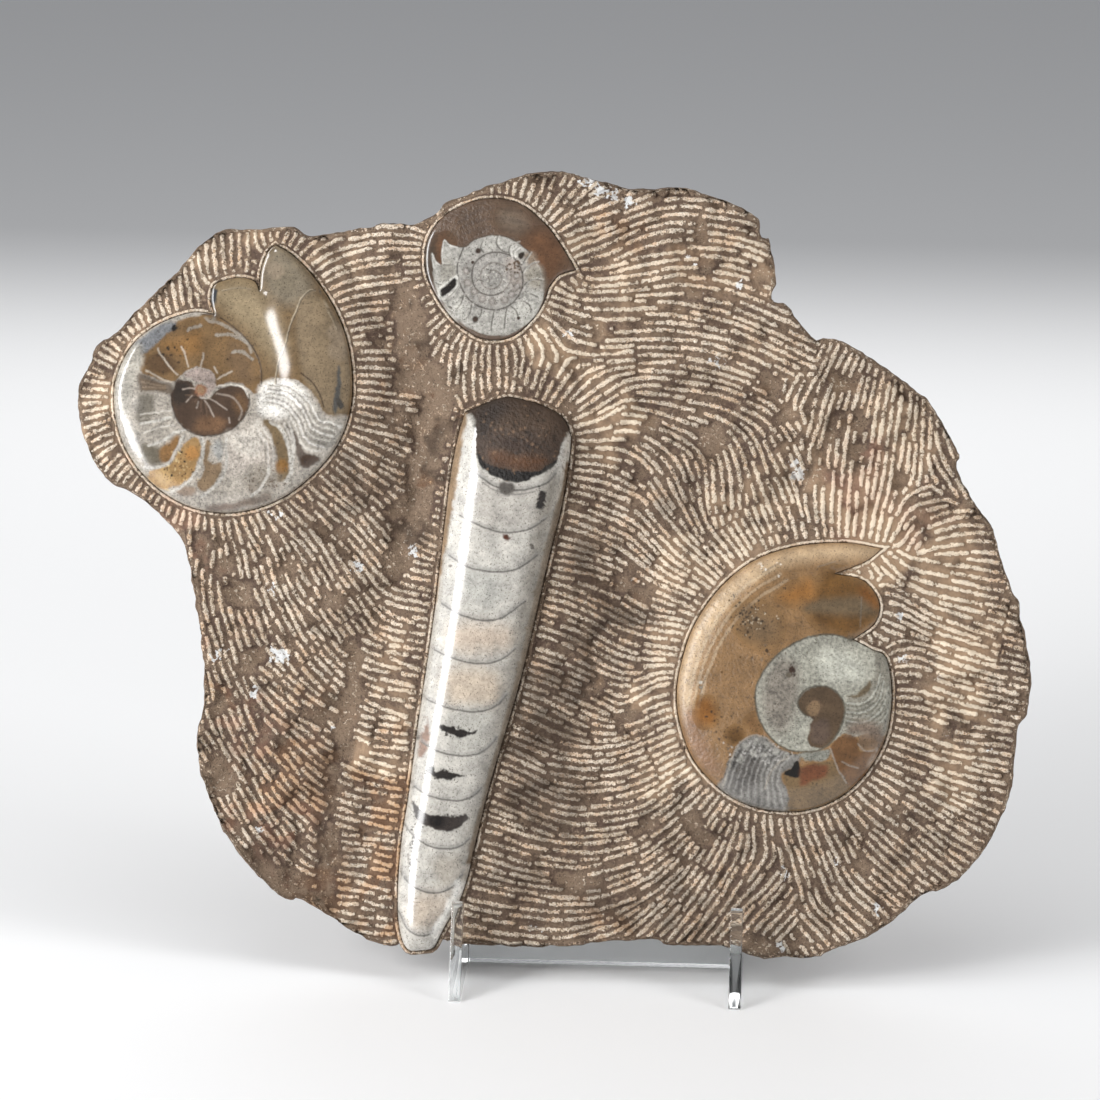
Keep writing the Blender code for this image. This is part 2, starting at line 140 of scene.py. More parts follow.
# Which way the rows run: places in mm and the angle up from level, in degrees.
ROW_GUIDES = [
    (-186, 218, 178), (-186, 208, 20), (-182, 198, 32), (-172, 188, 62), (-162, 182, 76), (-150, 172, 84),
    (-184, 232, 150), (-176, 242, 130), (-165, 252, 108), (-157, 262, 100), (-148, 268, 97), (-138, 276, 93),
    (-128, 280, 89), (-116, 281, 84), (-104, 283, 66), (-96, 277, 30), (-92, 270, 22), (-84, 280, 15),
    (-75, 273, 8), (-68, 285, 2), (-58, 272, 3), (-55, 265, 12), (-51, 252, 42), (-73, 250, 5), (-73, 237, 178),
    (-72, 222, 174), (-70, 209, 168), (-68, 194, 152), (-76, 180, 143),
    (-86, 172, 138), (-84, 182, 140), (-93, 176, 146), (-104, 176, 150), (-112, 170, 140), (-100, 166, 137),
    (-116, 160, 122), (-134, 165, 108), (-142, 158, 84), (-66, 168, 128), (-62, 158, 122), (-75, 161, 128),
    (-92, 150, 127), (-82, 148, 128), (-72, 145, 125), (-107, 152, 100), (-110, 148, 107), (-115, 153, 106),
    (-121, 152, 106), (-128, 148, 99), (-135, 150, 85), (-140, 148, 75), (-139, 138, 97), (-112, 142, 118),
    (-100, 140, 130), (-140, 118, 97), (-133, 118, 103), (-127, 122, 112), (-118, 130, 113), (-108, 125, 125),
    (-98, 114, 129), (-90, 128, 130), (-76, 135, 128), (-136, 95, 97), (-122, 96, 114), (-112, 108, 140),
    (-104, 100, 140), (-90, 106, 139), (-108, 90, 146), (-100, 87, 149), (-94, 93, 148), (-128, 84, 116),
    (-120, 80, 118), (-112, 82, 126), (-120, 66, 123), (-128, 60, 118), (-106, 68, 132), (-100, 56, 136),
    (-92, 62, 140), (-112, 50, 128), (-116, 42, 130), (-104, 44, 134),
    (-80, 62, 160), (-76, 50, 168), (-72, 62, 168), (-68, 80, 170), (-62, 90, 172), (-62, 104, 172),
    (-60, 120, 173), (-54, 120, 173), (-66, 60, 172), (-70, 40, 174), (-66, 25, 173), (-74, 32, 176),
    (-74, 20, 174), (-78, 12, 172), (-72, 6, 172), (-62, 8, 172), (-50, 222, 2), (-52, 190, 178),
    (-56, 150, 172), (-58, 136, 172),
    (-48, 296, 120), (-30, 304, 96), (-12, 305, 88), (-4, 302, 74), (3, 299, 48), (12, 290, 14), (26, 297, 20),
    (26, 282, 28), (60, 300, 178), (72, 298, 172), (78, 288, 163), (84, 272, 155), (40, 272, 10), (62, 278, 178),
    (16, 264, 6), (2, 254, 160), (12, 247, 166), (30, 250, 3), (60, 254, 168), (84, 252, 157), (100, 236, 155),
    (14, 239, 168), (26, 236, 8), (44, 238, 2), (66, 236, 165), (-20, 236, 98), (-26, 233, 90), (-14, 231, 76),
    (-7, 232, 74), (-33, 236, 90), (-40, 232, 88), (-42, 246, 50), (0, 245, 118),
    (3, 226, 62), (9, 224, 48), (16, 222, 40), (22, 222, 38), (14, 214, 32), (22, 218, 30), (12, 207, 4),
    (16, 196, 178), (34, 214, 170), (56, 216, 166), (79, 221, 159), (46, 228, 178), (56, 222, 174),
    (86, 238, 155), (46, 206, 158), (44, 196, 143), (30, 180, 163), (20, 168, 160), (44, 168, 136),
    (40, 161, 133), (46, 174, 128), (54, 178, 120), (48, 185, 117), (50, 190, 113), (43, 190, 124),
    (56, 186, 102), (60, 182, 94), (66, 186, 89), (74, 184, 88), (68, 175, 95), (66, 164, 135), (72, 166, 130),
    (80, 168, 124), (86, 170, 116), (90, 190, 117), (82, 192, 110), (92, 166, 112),
    (56, 155, 145), (52, 147, 160), (50, 128, 2), (46, 119, 2), (36, 122, 165), (28, 112, 155), (33, 108, 2),
    (40, 107, 34), (38, 102, 38), (47, 104, 25), (24, 97, 143), (30, 91, 14), (40, 92, 34), (53, 90, 30),
    (5, 155, 175), (10, 150, 170), (24, 150, 158), (10, 140, 160), (16, 135, 151), (34, 140, 150), (5, 130, 165),
    (20, 125, 148), (12, 118, 152), (20, 118, 150), (0, 120, 163), (6, 108, 158), (14, 96, 156), (6, 96, 152),
    (-4, 84, 155), (-15, 79, 160), (-10, 70, 152), (8, 75, 172), (22, 68, 2), (34, 70, 19), (46, 64, 33),
    (36, 82, 21), (48, 78, 31), (-12, 56, 153), (-20, 64, 160), (-6, 63, 150), (2, 50, 162), (20, 56, 4),
    (20, 46, 3), (36, 50, 15), (45, 46, 38), (52, 58, 44), (66, 52, 55), (-18, 34, 160), (-14, 45, 160),
    (0, 36, 172), (-2, 24, 171), (14, 20, 2), (30, 36, 17), (32, 24, 22), (48, 34, 41), (60, 34, 60),
    (-24, 10, 172), (-6, 6, 176), (20, 6, 17), (42, 10, 44), (60, 14, 54), (76, 12, 56), (76, 40, 68),
    (72, 28, 60), (86, 46, 97), (92, 47, 112), (100, 42, 114), (104, 28, 112), (112, 34, 113), (90, 32, 50),
    (84, 20, 46), (92, 20, 47), (98, 22, 52), (96, 10, 44), (108, 12, 136), (103, 3, 130), (116, 12, 140),
    (126, 20, 141), (144, 34, 138), (122, 40, 118), (132, 32, 142), (140, 56, 142), (150, 44, 141),
    (158, 52, 147), (145, 58, 150), (172, 52, 155), (149, 74, 162), (168, 82, 174), (184, 84, 173),
    (150, 96, 164), (170, 104, 163), (176, 105, 170), (186, 108, 168), (166, 124, 164), (184, 130, 165),
    (158, 146, 170), (172, 150, 166), (110, 236, 64), (100, 226, 62), (118, 221, 74), (136, 212, 82),
    (147, 206, 85), (103, 206, 66), (136, 190, 83), (147, 197, 84), (156, 194, 127), (160, 206, 113),
    (161, 192, 119), (122, 178, 89), (108, 186, 86), (94, 212, 130), (96, 199, 118), (136, 178, 77),
    (141, 172, 62), (143, 167, 72), (144, 178, 38), (148, 182, 8), (149, 176, 12), (147, 170, 40),
    (137, 171, 80), (163, 166, 8), (174, 163, 176), (130, 147, 124), (139, 147, 138), (148, 138, 148),
    (138, 134, 162), (150, 155, 172), (136, 157, 140), (169, 129, 163), (141, 118, 10), (150, 117, 155),
    (140, 106, 6), (152, 106, 162), (148, 92, 162), (154, 90, 160), (174, 88, 178), (172, 72, 168),
    (178, 148, 172),
]
# Spots that the tool left unworked, in mm: middle and radius.
SMOOTH_SPOTS = [
    (40, 209, 4.5), (61.6, 273.6, 4.0), (83, 271, 4.5), (19, 247, 4.0), (88, 225.6, 3.5),
    (40, 301.6, 3.5), (121.6, 213.6, 3.5), (123, 202.4, 3.0), (57, 287, 3.5), (55, 262, 3.0),
    (38, 258, 3.0), (-63, 174, 4.0), (-84, 164, 3.0), (-118, 114, 5.0), (-131, 150, 4.0),
    (-104, 150, 3.0), (-128, 96, 3.5), (-92, 90, 4.0), (-76, 100, 5.0), (20, 60, 3.0),
    (22, 26, 3.5), (66, 44, 3.0), (150, 110, 3.5), (160, 90, 3.0), (104, 168, 3.0),
    (-62, 210, 4.0), (-60, 226, 4.5), (-70, 240, 3.0), (4, 130, 2.5), (36, 176, 2.5),
    (140, 190, 3.0), (174, 96, 3.0), (12, 176, 2.5), (-96, 174, 2.5),
    (-132, 64, 7.5), (-88, 136, 4.5), (-124, 139, 6.5), (-120, 110, 4.5), (-139, 158, 4.5), (14, 26, 4.5),
    (8, 27, 3.0), (38, 48, 3.5), (85, 4, 5.0), (59, 52, 4.5), (63, 45, 4.0), (128, 36, 4.0), (19, 178, 2.5),
    (28, 193, 2.5), (36, 190, 4.0), (36, 143, 4.5), (-76, 77, 4.0), (-72, 43, 3.0), (165, 154, 2.5),
    (18, 104, 4.5), (30, 148, 5.0), (64, 205, 7.5), (122, 201.5, 3.5), (128, 201.5, 2.5), (115, 228, 4.0),
    (86, 228, 5.0), (94, 215, 4.5), (122, 213, 4.5), (108, 190, 3.5), (150, 168, 3.0),
]
# Bands of rough rock that it left unworked: ends and half width, in mm.
UNWORKED_BANDS = [
    ((-60, 256), (-57, 236), 7.5), ((-57, 236), (-47, 221), 7.0), ((-47, 221), (-50, 196), 7.5),
    ((-50, 196), (-55, 170), 7.0), ((-55, 170), (-63, 150), 5.0), ((115, 217), (101.5, 186), 1.8),
    ((-78, 120), (-79, 100), 3.5), ((-79, 100), (-82, 76), 4.5), ((-84, 72), (-86, 46), 2.5),
    ((-87, 40), (-86, 18), 4.5), ((-117, 30), (-94, 16), 6.5), ((76, 4), (94, 1), 3.5),
]


def to_frame(points):
    """Places on the plate's own plane, in mm, as places in the frame, in metres."""
    p = np.asarray(points, float)
    world = FOOT + p[:, :1] * ACROSS + p[:, 1:2] * UP_FACE + p[:, 2:3] * OUT_OF_FACE
    return world * MM


def catmull(line, step):
    """Points every step or so on a smooth curve through all but the line's two end points."""
    line = [np.array(p, float) for p in line]
    found = [line[1]]
    for a, b, c, d in zip(line, line[1:], line[2:], line[3:]):
        count = max(1, round(np.linalg.norm(c - b) / step))
        for t in np.arange(1, count + 1) / count:
            found.append((2 * b + (c - a) * t + (2 * a - 5 * b + 4 * c - d) * t * t
                          + (3 * b - a - 3 * c + d) * t ** 3) / 2)
    return found


def smooth_line(points, step):
    """A smooth open curve through the given points."""
    first = 2 * np.array(points[0], float) - points[1]
    last = 2 * np.array(points[-1], float) - points[-2]
    return np.array(catmull([first, *points, last], step))


def counterclockwise(ring):
    x, y = ring[:, 0], ring[:, 1]
    area = np.sum(x * np.roll(y, -1) - y * np.roll(x, -1))
    return ring if area > 0 else ring[::-1]


def ring_of_runs(runs, step):
    """One closed ring from runs that meet in corners."""
    return counterclockwise(np.vstack([smooth_line(run, step)[:-1] for run in runs]))


def closed_ring(points, step):
    """One closed smooth ring with no corner."""
    line = [points[-1], *points, points[0], points[1]]
    return counterclockwise(np.array(catmull(line, step)[:-1]))


def inset_ring(ring, amount):
    """The ring moved inwards by an amount, or by one amount for each point."""
    before = ring - np.roll(ring, 1, 0)
    before /= np.linalg.norm(before, axis=1)[:, None]
    after = np.roll(before, -1, 0)
    reach = 1 / np.maximum(0.3, 1 + np.sum(before * after, 1))
    inwards = np.stack((-before[:, 1] - after[:, 1], before[:, 0] + after[:, 0]), 1)
    return ring + inwards * (reach * amount)[:, None]


def line_distance(points, line, closed=False):
    """How far each point lies from a line, and the line's nearest point."""
    starts = line if closed else line[:-1]
    sides = (np.roll(line, -1, 0) if closed else line[1:]) - (line if closed else line[:-1])
    lengths = np.maximum(np.sum(sides * sides, 1), 1e-9)
    best = np.full(len(points), np.inf)
    nearest = np.zeros((len(points), 2))
    for a, side, length in zip(starts, sides, lengths):
        t = np.clip((points - a) @ side / length, 0, 1)
        spot = a + t[:, None] * side
        away = np.sum((points - spot) ** 2, 1)
        closer = away < best
        best[closer] = away[closer]
        nearest[closer] = spot[closer]
    return np.sqrt(best), nearest


def inside_ring(points, ring):
    """Which points lie inside a closed ring."""
    x, y = points[:, 0], points[:, 1]
    inside = np.zeros(len(points), bool)
    for a, b in zip(ring, np.roll(ring, -1, 0)):
        if a[1] == b[1]:
            continue
        crosses = (a[1] > y) != (b[1] > y)
        inside ^= crosses & (x < a[0] + (b[0] - a[0]) * (y - a[1]) / (b[1] - a[1]))
    return inside


def lattice(low, high, step, shake=0.0, seed=1):
    """A triangular lattice of points over a box, each shaken a little."""
    rows = np.arange(low[1], high[1], step * math.sqrt(3) / 2)
    columns = np.arange(low[0], high[0] + step, step)
    x, y = np.meshgrid(columns, rows)
    x = x + 0.5 * step * (np.arange(len(rows)) % 2)[:, None]
    points = np.stack((x.ravel(), y.ravel()), 1)
    return points + np.random.default_rng(seed).uniform(-shake, shake, points.shape) * step


def rough(points, scale, seed=0.0):
    """Smooth noise of about -0.5 to 0.5 at each point, with lumps of the given size in mm."""
    return np.array([noise.noise(Vector((x / scale, y / scale, seed))) for x, y in points])


def bent_places(points, size, amount):
    """The points moved about by smooth noise, so that round spots come out ragged."""
    return points + 2 * amount * np.stack((rough(points, size, 31.0), rough(points, size, 47.0)), 1)


def fade(value, low, high):
    """0 at low, 1 at high and smooth between."""
    t = np.clip((value - low) / (high - low), 0, 1)
    return t * t * (3 - 2 * t)


def linear(hex_color):
    """An sRGB hex colour as the linear values that a shader takes."""
    parts = [int(hex_color[i:i + 2], 16) / 255 for i in (1, 3, 5)]
    return [c / 12.92 if c <= 0.04045 else ((c + 0.055) / 1.055) ** 2.4 for c in parts]


def add_node(material, kind, settings=None, **inputs):
    """One node of a material or node group, with its settings, values and links."""
    tree = material.node_tree if hasattr(material, "node_tree") else material
    node = tree.nodes.new(kind)
    for name, value in (settings or {}).items():
        setattr(node, name, value)
    for name, value in inputs.items():
        key = int(name[1:]) if name[1:].isdigit() else name.replace("_", " ")
        socket = node.inputs[key]
        if isinstance(value, bpy.types.NodeSocket):
            tree.links.new(value, socket)
        else:
            socket.default_value = value
    return node


def new_material(name):
    """A material with its shader and nothing else; gives the material and the shader."""
    material = bpy.data.materials.new(name)
    material.use_nodes = True
    return material, material.node_tree.nodes["Principled BSDF"]


def mesh_object(name, points, faces, attributes, material):
    """A finished piece from points in mm on the plate's plane."""
    mesh = bpy.data.meshes.new(name)
    mesh.from_pydata(to_frame(points).tolist(), [], faces)
    for key, values in attributes.items():
        values = np.asarray(values, np.float32)
        if values.ndim == 1:
            mesh.attributes.new(key, "FLOAT", "POINT").data.foreach_set("value", values)
        else:
            colors = np.column_stack((values, np.ones(len(values), np.float32))).astype(np.float32)
            mesh.attributes.new(key, "FLOAT_COLOR", "POINT").data.foreach_set("color", colors.ravel())
    mesh.shade_smooth()
    mesh.materials.append(material)
    obj = bpy.data.objects.new(name, mesh)
    bpy.context.scene.collection.objects.link(obj)
    return obj


def hand_over(obj, slot, *nodes):
    """Gives a finished piece to the frame."""
    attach(obj, "root")
    if nodes:
        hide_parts(*nodes)


# ---- the plate's face -------------------------------------------------------------------

def hollow_depth(points):
    deepest = np.zeros(len(points))
    for start, end, depth, half_width in HOLLOWS:
        away, _ = line_distance(points, np.array((start, end), float))
        deepest = np.maximum(deepest, depth * np.exp(-(away / half_width) ** 2))
    return deepest


def face_height(points, near):
    """The rock's face: gently rolling, hollowed, and level along the fossils' rims."""
    level = np.minimum(1, near / 14.0)
    roll = FACE_ROLL * (rough(points, 46.0) - 0.35)
    lumps = 2.2 * rough(points, 19.0, 5.0) + 1.5 * rough(points, 8.0, 9.0) + 0.7 * rough(points, 3.6, 13.0)
    ledges = 1.8 * fade(rough(points * (1, 1.6), 15.0, 21.0), 0.06, 0.14)
    unworked = 0.5 * fade(unworked_amount(points), 0.0, 0.5)
    return level * (roll - hollow_depth(points) + (lumps - ledges - unworked) * level) - 0.2 - RIDGE_HEIGHT


def unworked_spots():
    """The spots named above and small random ones, most of them at the lower left."""
    dice = random.Random(3)
    spots = list(SMOOTH_SPOTS)
    while len(spots) < len(SMOOTH_SPOTS) + 70:
        x, y = dice.uniform(-180, 185), dice.uniform(5, 300)
        if x < -80 and y < 175 or dice.random() < 0.12:
            spots.append((x, y, dice.uniform(1.4, 3.2)))
    return spots


def unworked_amount(points):
    """Above 0 where the chisel left a spot alone, up to 1 in the spot's middle."""
    bent = bent_places(points, 5.0, 1.8)
    amount = np.full(len(points), -1.0)
    for x, y, radius in unworked_spots():
        where = np.flatnonzero(np.hypot(bent[:, 0] - x, bent[:, 1] - y) < radius)
        away = np.hypot(bent[where, 0] - x, bent[where, 1] - y) / radius
        amount[where] = np.maximum(amount[where], 1 - away)
    for start, end, half_width in UNWORKED_BANDS:
        away = line_distance(bent, np.array((start, end), float))[0] / half_width
        amount = np.maximum(amount, 1 - away)
    return amount


def back_height(points):
    swell = rough(points, 55.0, 90 / 55.0) + 0.5 * rough(points, 19.0, 40 / 19.0)
    return -SLAB_THICK + BACK_ROLL * np.maximum(0, 0.2 + swell)


class RowField:
    """Which way the rows run anywhere on the face, from the guides and the fossils' rims."""

    STEP = 2.0

    def __init__(self, low, high, rims):
        self.low = np.array(low, float)
        xs = np.arange(low[0], high[0] + self.STEP, self.STEP)
        ys = np.arange(low[1], high[1] + self.STEP, self.STEP)
        self.shape = (len(ys), len(xs))
        gx, gy = np.meshgrid(xs, ys)
        points = np.stack((gx.ravel(), gy.ravel()), 1)
        total = np.zeros((len(points), 2))
        weights = np.zeros(len(points))
        for x, y, angle in ROW_GUIDES:
            w = 1 / (np.sum((points - (x, y)) ** 2, 1) + 16.0) ** 1.5
            double = math.radians(2 * angle)
            total += w[:, None] * (math.cos(double), math.sin(double))
            weights += w
        total /= weights[:, None]
        for rim, strength, reach in rims:
            away, nearest = line_distance(points, rim, closed=True)
            outwards = points - nearest
            angle = 2 * np.arctan2(outwards[:, 1], outwards[:, 0])
            pull = strength * np.exp(-(away / reach) ** 2)
            total += pull[:, None] * np.stack((np.cos(angle), np.sin(angle)), 1)
        self.values = total.reshape(*self.shape, 2)

    def direction(self, x, y):
        fx = min(max((x - self.low[0]) / self.STEP, 0), self.shape[1] - 1.001)
        fy = min(max((y - self.low[1]) / self.STEP, 0), self.shape[0] - 1.001)
        ix, iy = int(fx), int(fy)
        tx, ty = fx - ix, fy - iy
        v = self.values
        a = v[iy, ix] * (1 - tx) + v[iy, ix + 1] * tx
        b = v[iy + 1, ix] * (1 - tx) + v[iy + 1, ix + 1] * tx
        c = a * (1 - ty) + b * ty
        angle = 0.5 * math.atan2(c[1], c[0])
        return math.cos(angle), math.sin(angle)


class Crowd:
    """Finds whether a point lies too near the ridges already laid."""

    def __init__(self, cell):
        self.cell = cell
        self.cells = {}

    def add(self, points):
        for x, y in points:
            self.cells.setdefault((int(x // self.cell), int(y // self.cell)), []).append((x, y))

    def is_clear(self, x, y, radius, along=(1, 0), squeeze=1.0):
        """Whether nothing lies within the radius, or within less than that along one direction."""
        cx, cy = int(x // self.cell), int(y // self.cell)
        limit = radius * radius
        extra = squeeze * squeeze - 1
        for ix in (cx - 1, cx, cx + 1):
            for iy in (cy - 1, cy, cy + 1):
                for px, py in self.cells.get((ix, iy), ()):
                    dx, dy = px - x, py - y
                    ahead = dx * along[0] + dy * along[1]
                    if dx * dx + dy * dy + extra * ahead * ahead < limit:
                        return False
        return True


class Room:
    """The part of the face that the chisel worked, as a table of allowed squares."""

    STEP = 0.8

    def __init__(self, low, high, outline, rims):
        self.low = low
        xs = np.arange(low[0], high[0], self.STEP)
        ys = np.arange(low[1], high[1], self.STEP)
        gx, gy = np.meshgrid(xs, ys)
        points = np.stack((gx.ravel(), gy.ravel()), 1)
        worked = inside_ring(points, inset_ring(outline, 1.6))
        for rim in rims:
            worked &= ~inside_ring(points, inset_ring(rim, -(RIM_TRIM[2] + 0.4)))
        worked &= unworked_amount(points) <= 0
        self.table = worked.reshape(len(ys), len(xs))

    def allows(self, x, y):
        ix = int((x - self.low[0]) / self.STEP + 0.5)
        iy = int((y - self.low[1]) / self.STEP + 0.5)
        if ix < 0 or iy < 0 or iy >= self.table.shape[0] or ix >= self.table.shape[1]:
            return False
        return self.table[iy, ix]


def trace_ridge(start, field, room, crowd, dice):
    """One ridge's centre line, walked both ways from a start until something stops it."""
    coarse = start[0] < -58 and start[1] < 178
    length = dice.uniform(*RIDGE_LENGTHS) * (0.5 if coarse else 1)
    tilt = math.radians(dice.gauss(0, 4 if coarse else 1))
    lean_c, lean_s = math.cos(tilt), math.sin(tilt)
    arms = []
    for way in (1, -1):
        x, y = start
        dx, dy = field.direction(x, y)
        dx, dy = way * dx, way * dy
        arm = []
        reach = length * dice.uniform(0.35, 0.65)
        stride = RIDGE_STEP
        while len(arm) * RIDGE_STEP < reach and stride == RIDGE_STEP:
            nx, ny = field.direction(x, y)
            if nx * dx + ny * dy < 0:
                nx, ny = -nx, -ny
            dx, dy = nx * lean_c - ny * lean_s, nx * lean_s + ny * lean_c
            for stride in (RIDGE_STEP, 0.6 * RIDGE_STEP, 0.0):
                ahead = (x + dx * stride, y + dy * stride)
                clear = crowd.is_clear(*ahead, ACROSS_LIMIT * RIDGE_PITCH, (dx, dy), ALONG_SQUEEZE)
                if clear and room.allows(*ahead):
                    break
            if stride:
                arm.append(ahead)
            x, y = ahead
        arms.append(arm)
    return arms[1][::-1] + [start] + arms[0]


def along_line(line):
    """The direction of a line at each of its points, and the direction to its left."""
    along = np.gradient(line, axis=0)
    along /= np.maximum(np.linalg.norm(along, axis=1)[:, None], 1e-9)
    return along, np.stack((-along[:, 1], along[:, 0]), 1)


def lay_ridges(low, high, field, room):
    """All the ridges: each one starts beside an earlier one, so they run in rows."""
    dice = random.Random(7)
    crowd = Crowd(RIDGE_PITCH)
    ridges = []
    for spacing, shortest in ((9.0, 3), (2.0, 2)):
        waiting = [tuple(p) for p in lattice(low, high, spacing, 0.3)]
        dice.shuffle(waiting)
        rows = []
        while waiting or rows:
            start = rows.pop(0) if rows else waiting.pop()
            if not room.allows(*start):
                continue
            if not crowd.is_clear(*start, 0.85 * RIDGE_PITCH, field.direction(*start), ALONG_SQUEEZE):
                continue
            ridge = trace_ridge(start, field, room, crowd, dice)
            if len(ridge) < shortest:
                continue
            line = np.array(ridge)
            crowd.add(ridge)
            crowd.add((line[1:] + line[:-1]) / 2)
            ridges.append(line)
            aside = along_line(line)[1]
            for i in range(1, len(line) - 1, 3):
                for side in (1, -1):
                    rows.append(tuple(line[i] + side * RIDGE_PITCH * dice.uniform(0.92, 1.03) * aside[i]))
    return ridges


def face_layout(rims):
    """The face as a flat net of triangles that follows every ridge."""
    outline = closed_ring(SLAB_OUTLINE, OUTLINE_STEP)
    outline = inset_ring(outline, 0.6 + 0.6 * rough(outline, 8.0, 3.0) + 0.4 * rough(outline, 3.0, 4.0))
    outline[:, 0] = np.clip(outline[:, 0], *SIDE_LIMITS)
    low, high = outline.min(0), outline.max(0)
    reach = [(rim, 1.7, 7.0) for rim in rims[:3]] + [(rims[3], 1.2, 7.0)]
    field = RowField(low, high, reach)
    room = Room(low, high, outline, rims)
    ridges = lay_ridges(low, high, field, room)

    points = []
    strength = []
    edges = []

    def add_line(line, value, closed=False):
        first = len(points)
        points.extend(map(tuple, line))
        strength.extend([value] * len(line) if np.isscalar(value) else value)
        edges.extend((first + i, first + i + 1) for i in range(len(line) - 1))
        if closed:
            edges.append((first + len(line) - 1, first))

    face_edge = inset_ring(outline, EDGE_RINGS[0][0])
    add_line(face_edge, 0.35, closed=True)
    edge_starts = []
    for rim in rims:
        edge_starts.append(len(points))
        add_line(inset_ring(rim, -GAP), 0.3, closed=True)
        dull = 0.55 if rim is rims[-1] else 0.85
        for away, value in zip(RIM_TRIM, (1.0, 1.0, 0.0)):
            ring = inset_ring(rim, -away)
            add_line(ring, list(value * np.clip(dull + 0.7 * rough(ring, 10.0, 4.0), 0.15, 1.0)), closed=True)

    dice = np.random.default_rng(11)
    for line in ridges:
        count = len(line)
        along, aside = along_line(line)
        end = np.minimum(np.arange(count), np.arange(count)[::-1])
        taper = np.clip((end + 1.6) / 2.2, 0, 1)[:, None]
        half = RIDGE_HALF_WIDTH * taper * (1 + dice.uniform(-0.45, 0.45, (count, 2)))
        foot = half + RIDGE_SIDE * (1 + dice.uniform(-0.3, 0.15, (count, 2)))
        bold = dice.uniform(0.86, 1.0)
        for offset, caps, value in ((half, 0.0, bold), (foot, 0.45, 0.0)):
            left = line + offset[:, :1] * aside
            right = line - offset[:, 1:] * aside
            ring = [left, line[-1:] + caps * along[-1:], right[::-1], line[:1] - caps * along[:1]]
            ring = np.vstack(ring if caps else (left, right[::-1]))
            add_line(ring, value * dice.uniform(0.8, 1.0, len(ring)), closed=True)

    crowd = Crowd(2.4)
    crowd.add(points)
    spots = lattice(low, high, 2.2, 0.2, 5)
    inside = inside_ring(spots, face_edge)
    for rim in rims:
        inside &= ~inside_ring(spots, inset_ring(rim, -GAP))
    for p in spots[inside]:
        if crowd.is_clear(p[0], p[1], 1.3):
            points.append(tuple(p))
            strength.append(UNTOUCHED)

    found, _, faces, origins, _, _ = delaunay_2d_cdt([Vector(p) for p in points], edges, [], 1, 1e-5)
    flat = np.array([tuple(p) for p in found])
    strength = np.array([strength[o[0]] if o else 0.2 for o in origins])
    place_of = {o: k for k, group in enumerate(origins) for o in group}
    faces = np.array([f for f in faces if len(f) == 3])
    middles = flat[faces].mean(1)
    keep = np.ones(len(faces), bool)
    for rim in rims:
        keep &= ~inside_ring(middles, inset_ring(rim, -GAP * 0.9))
    faces = faces[keep]
    return outline, flat, strength, faces, edge_starts, place_of


def evened(ring, rounds):
    """A ring with each point drawn towards its neighbours."""
    for _ in range(rounds):
        ring = 0.5 * ring + 0.25 * (np.roll(ring, 1, 0) + np.roll(ring, -1, 0))
    return ring


def grid_walls(loops):
    """Quads between rings of vertex numbers, each ring below the last."""
    faces = []
    for upper, lower in zip(loops, loops[1:]):
        count = len(upper)
        for i in range(count):
            j = (i + 1) % count
            faces.append((upper[j], upper[i], lower[i], lower[j]))
    return faces


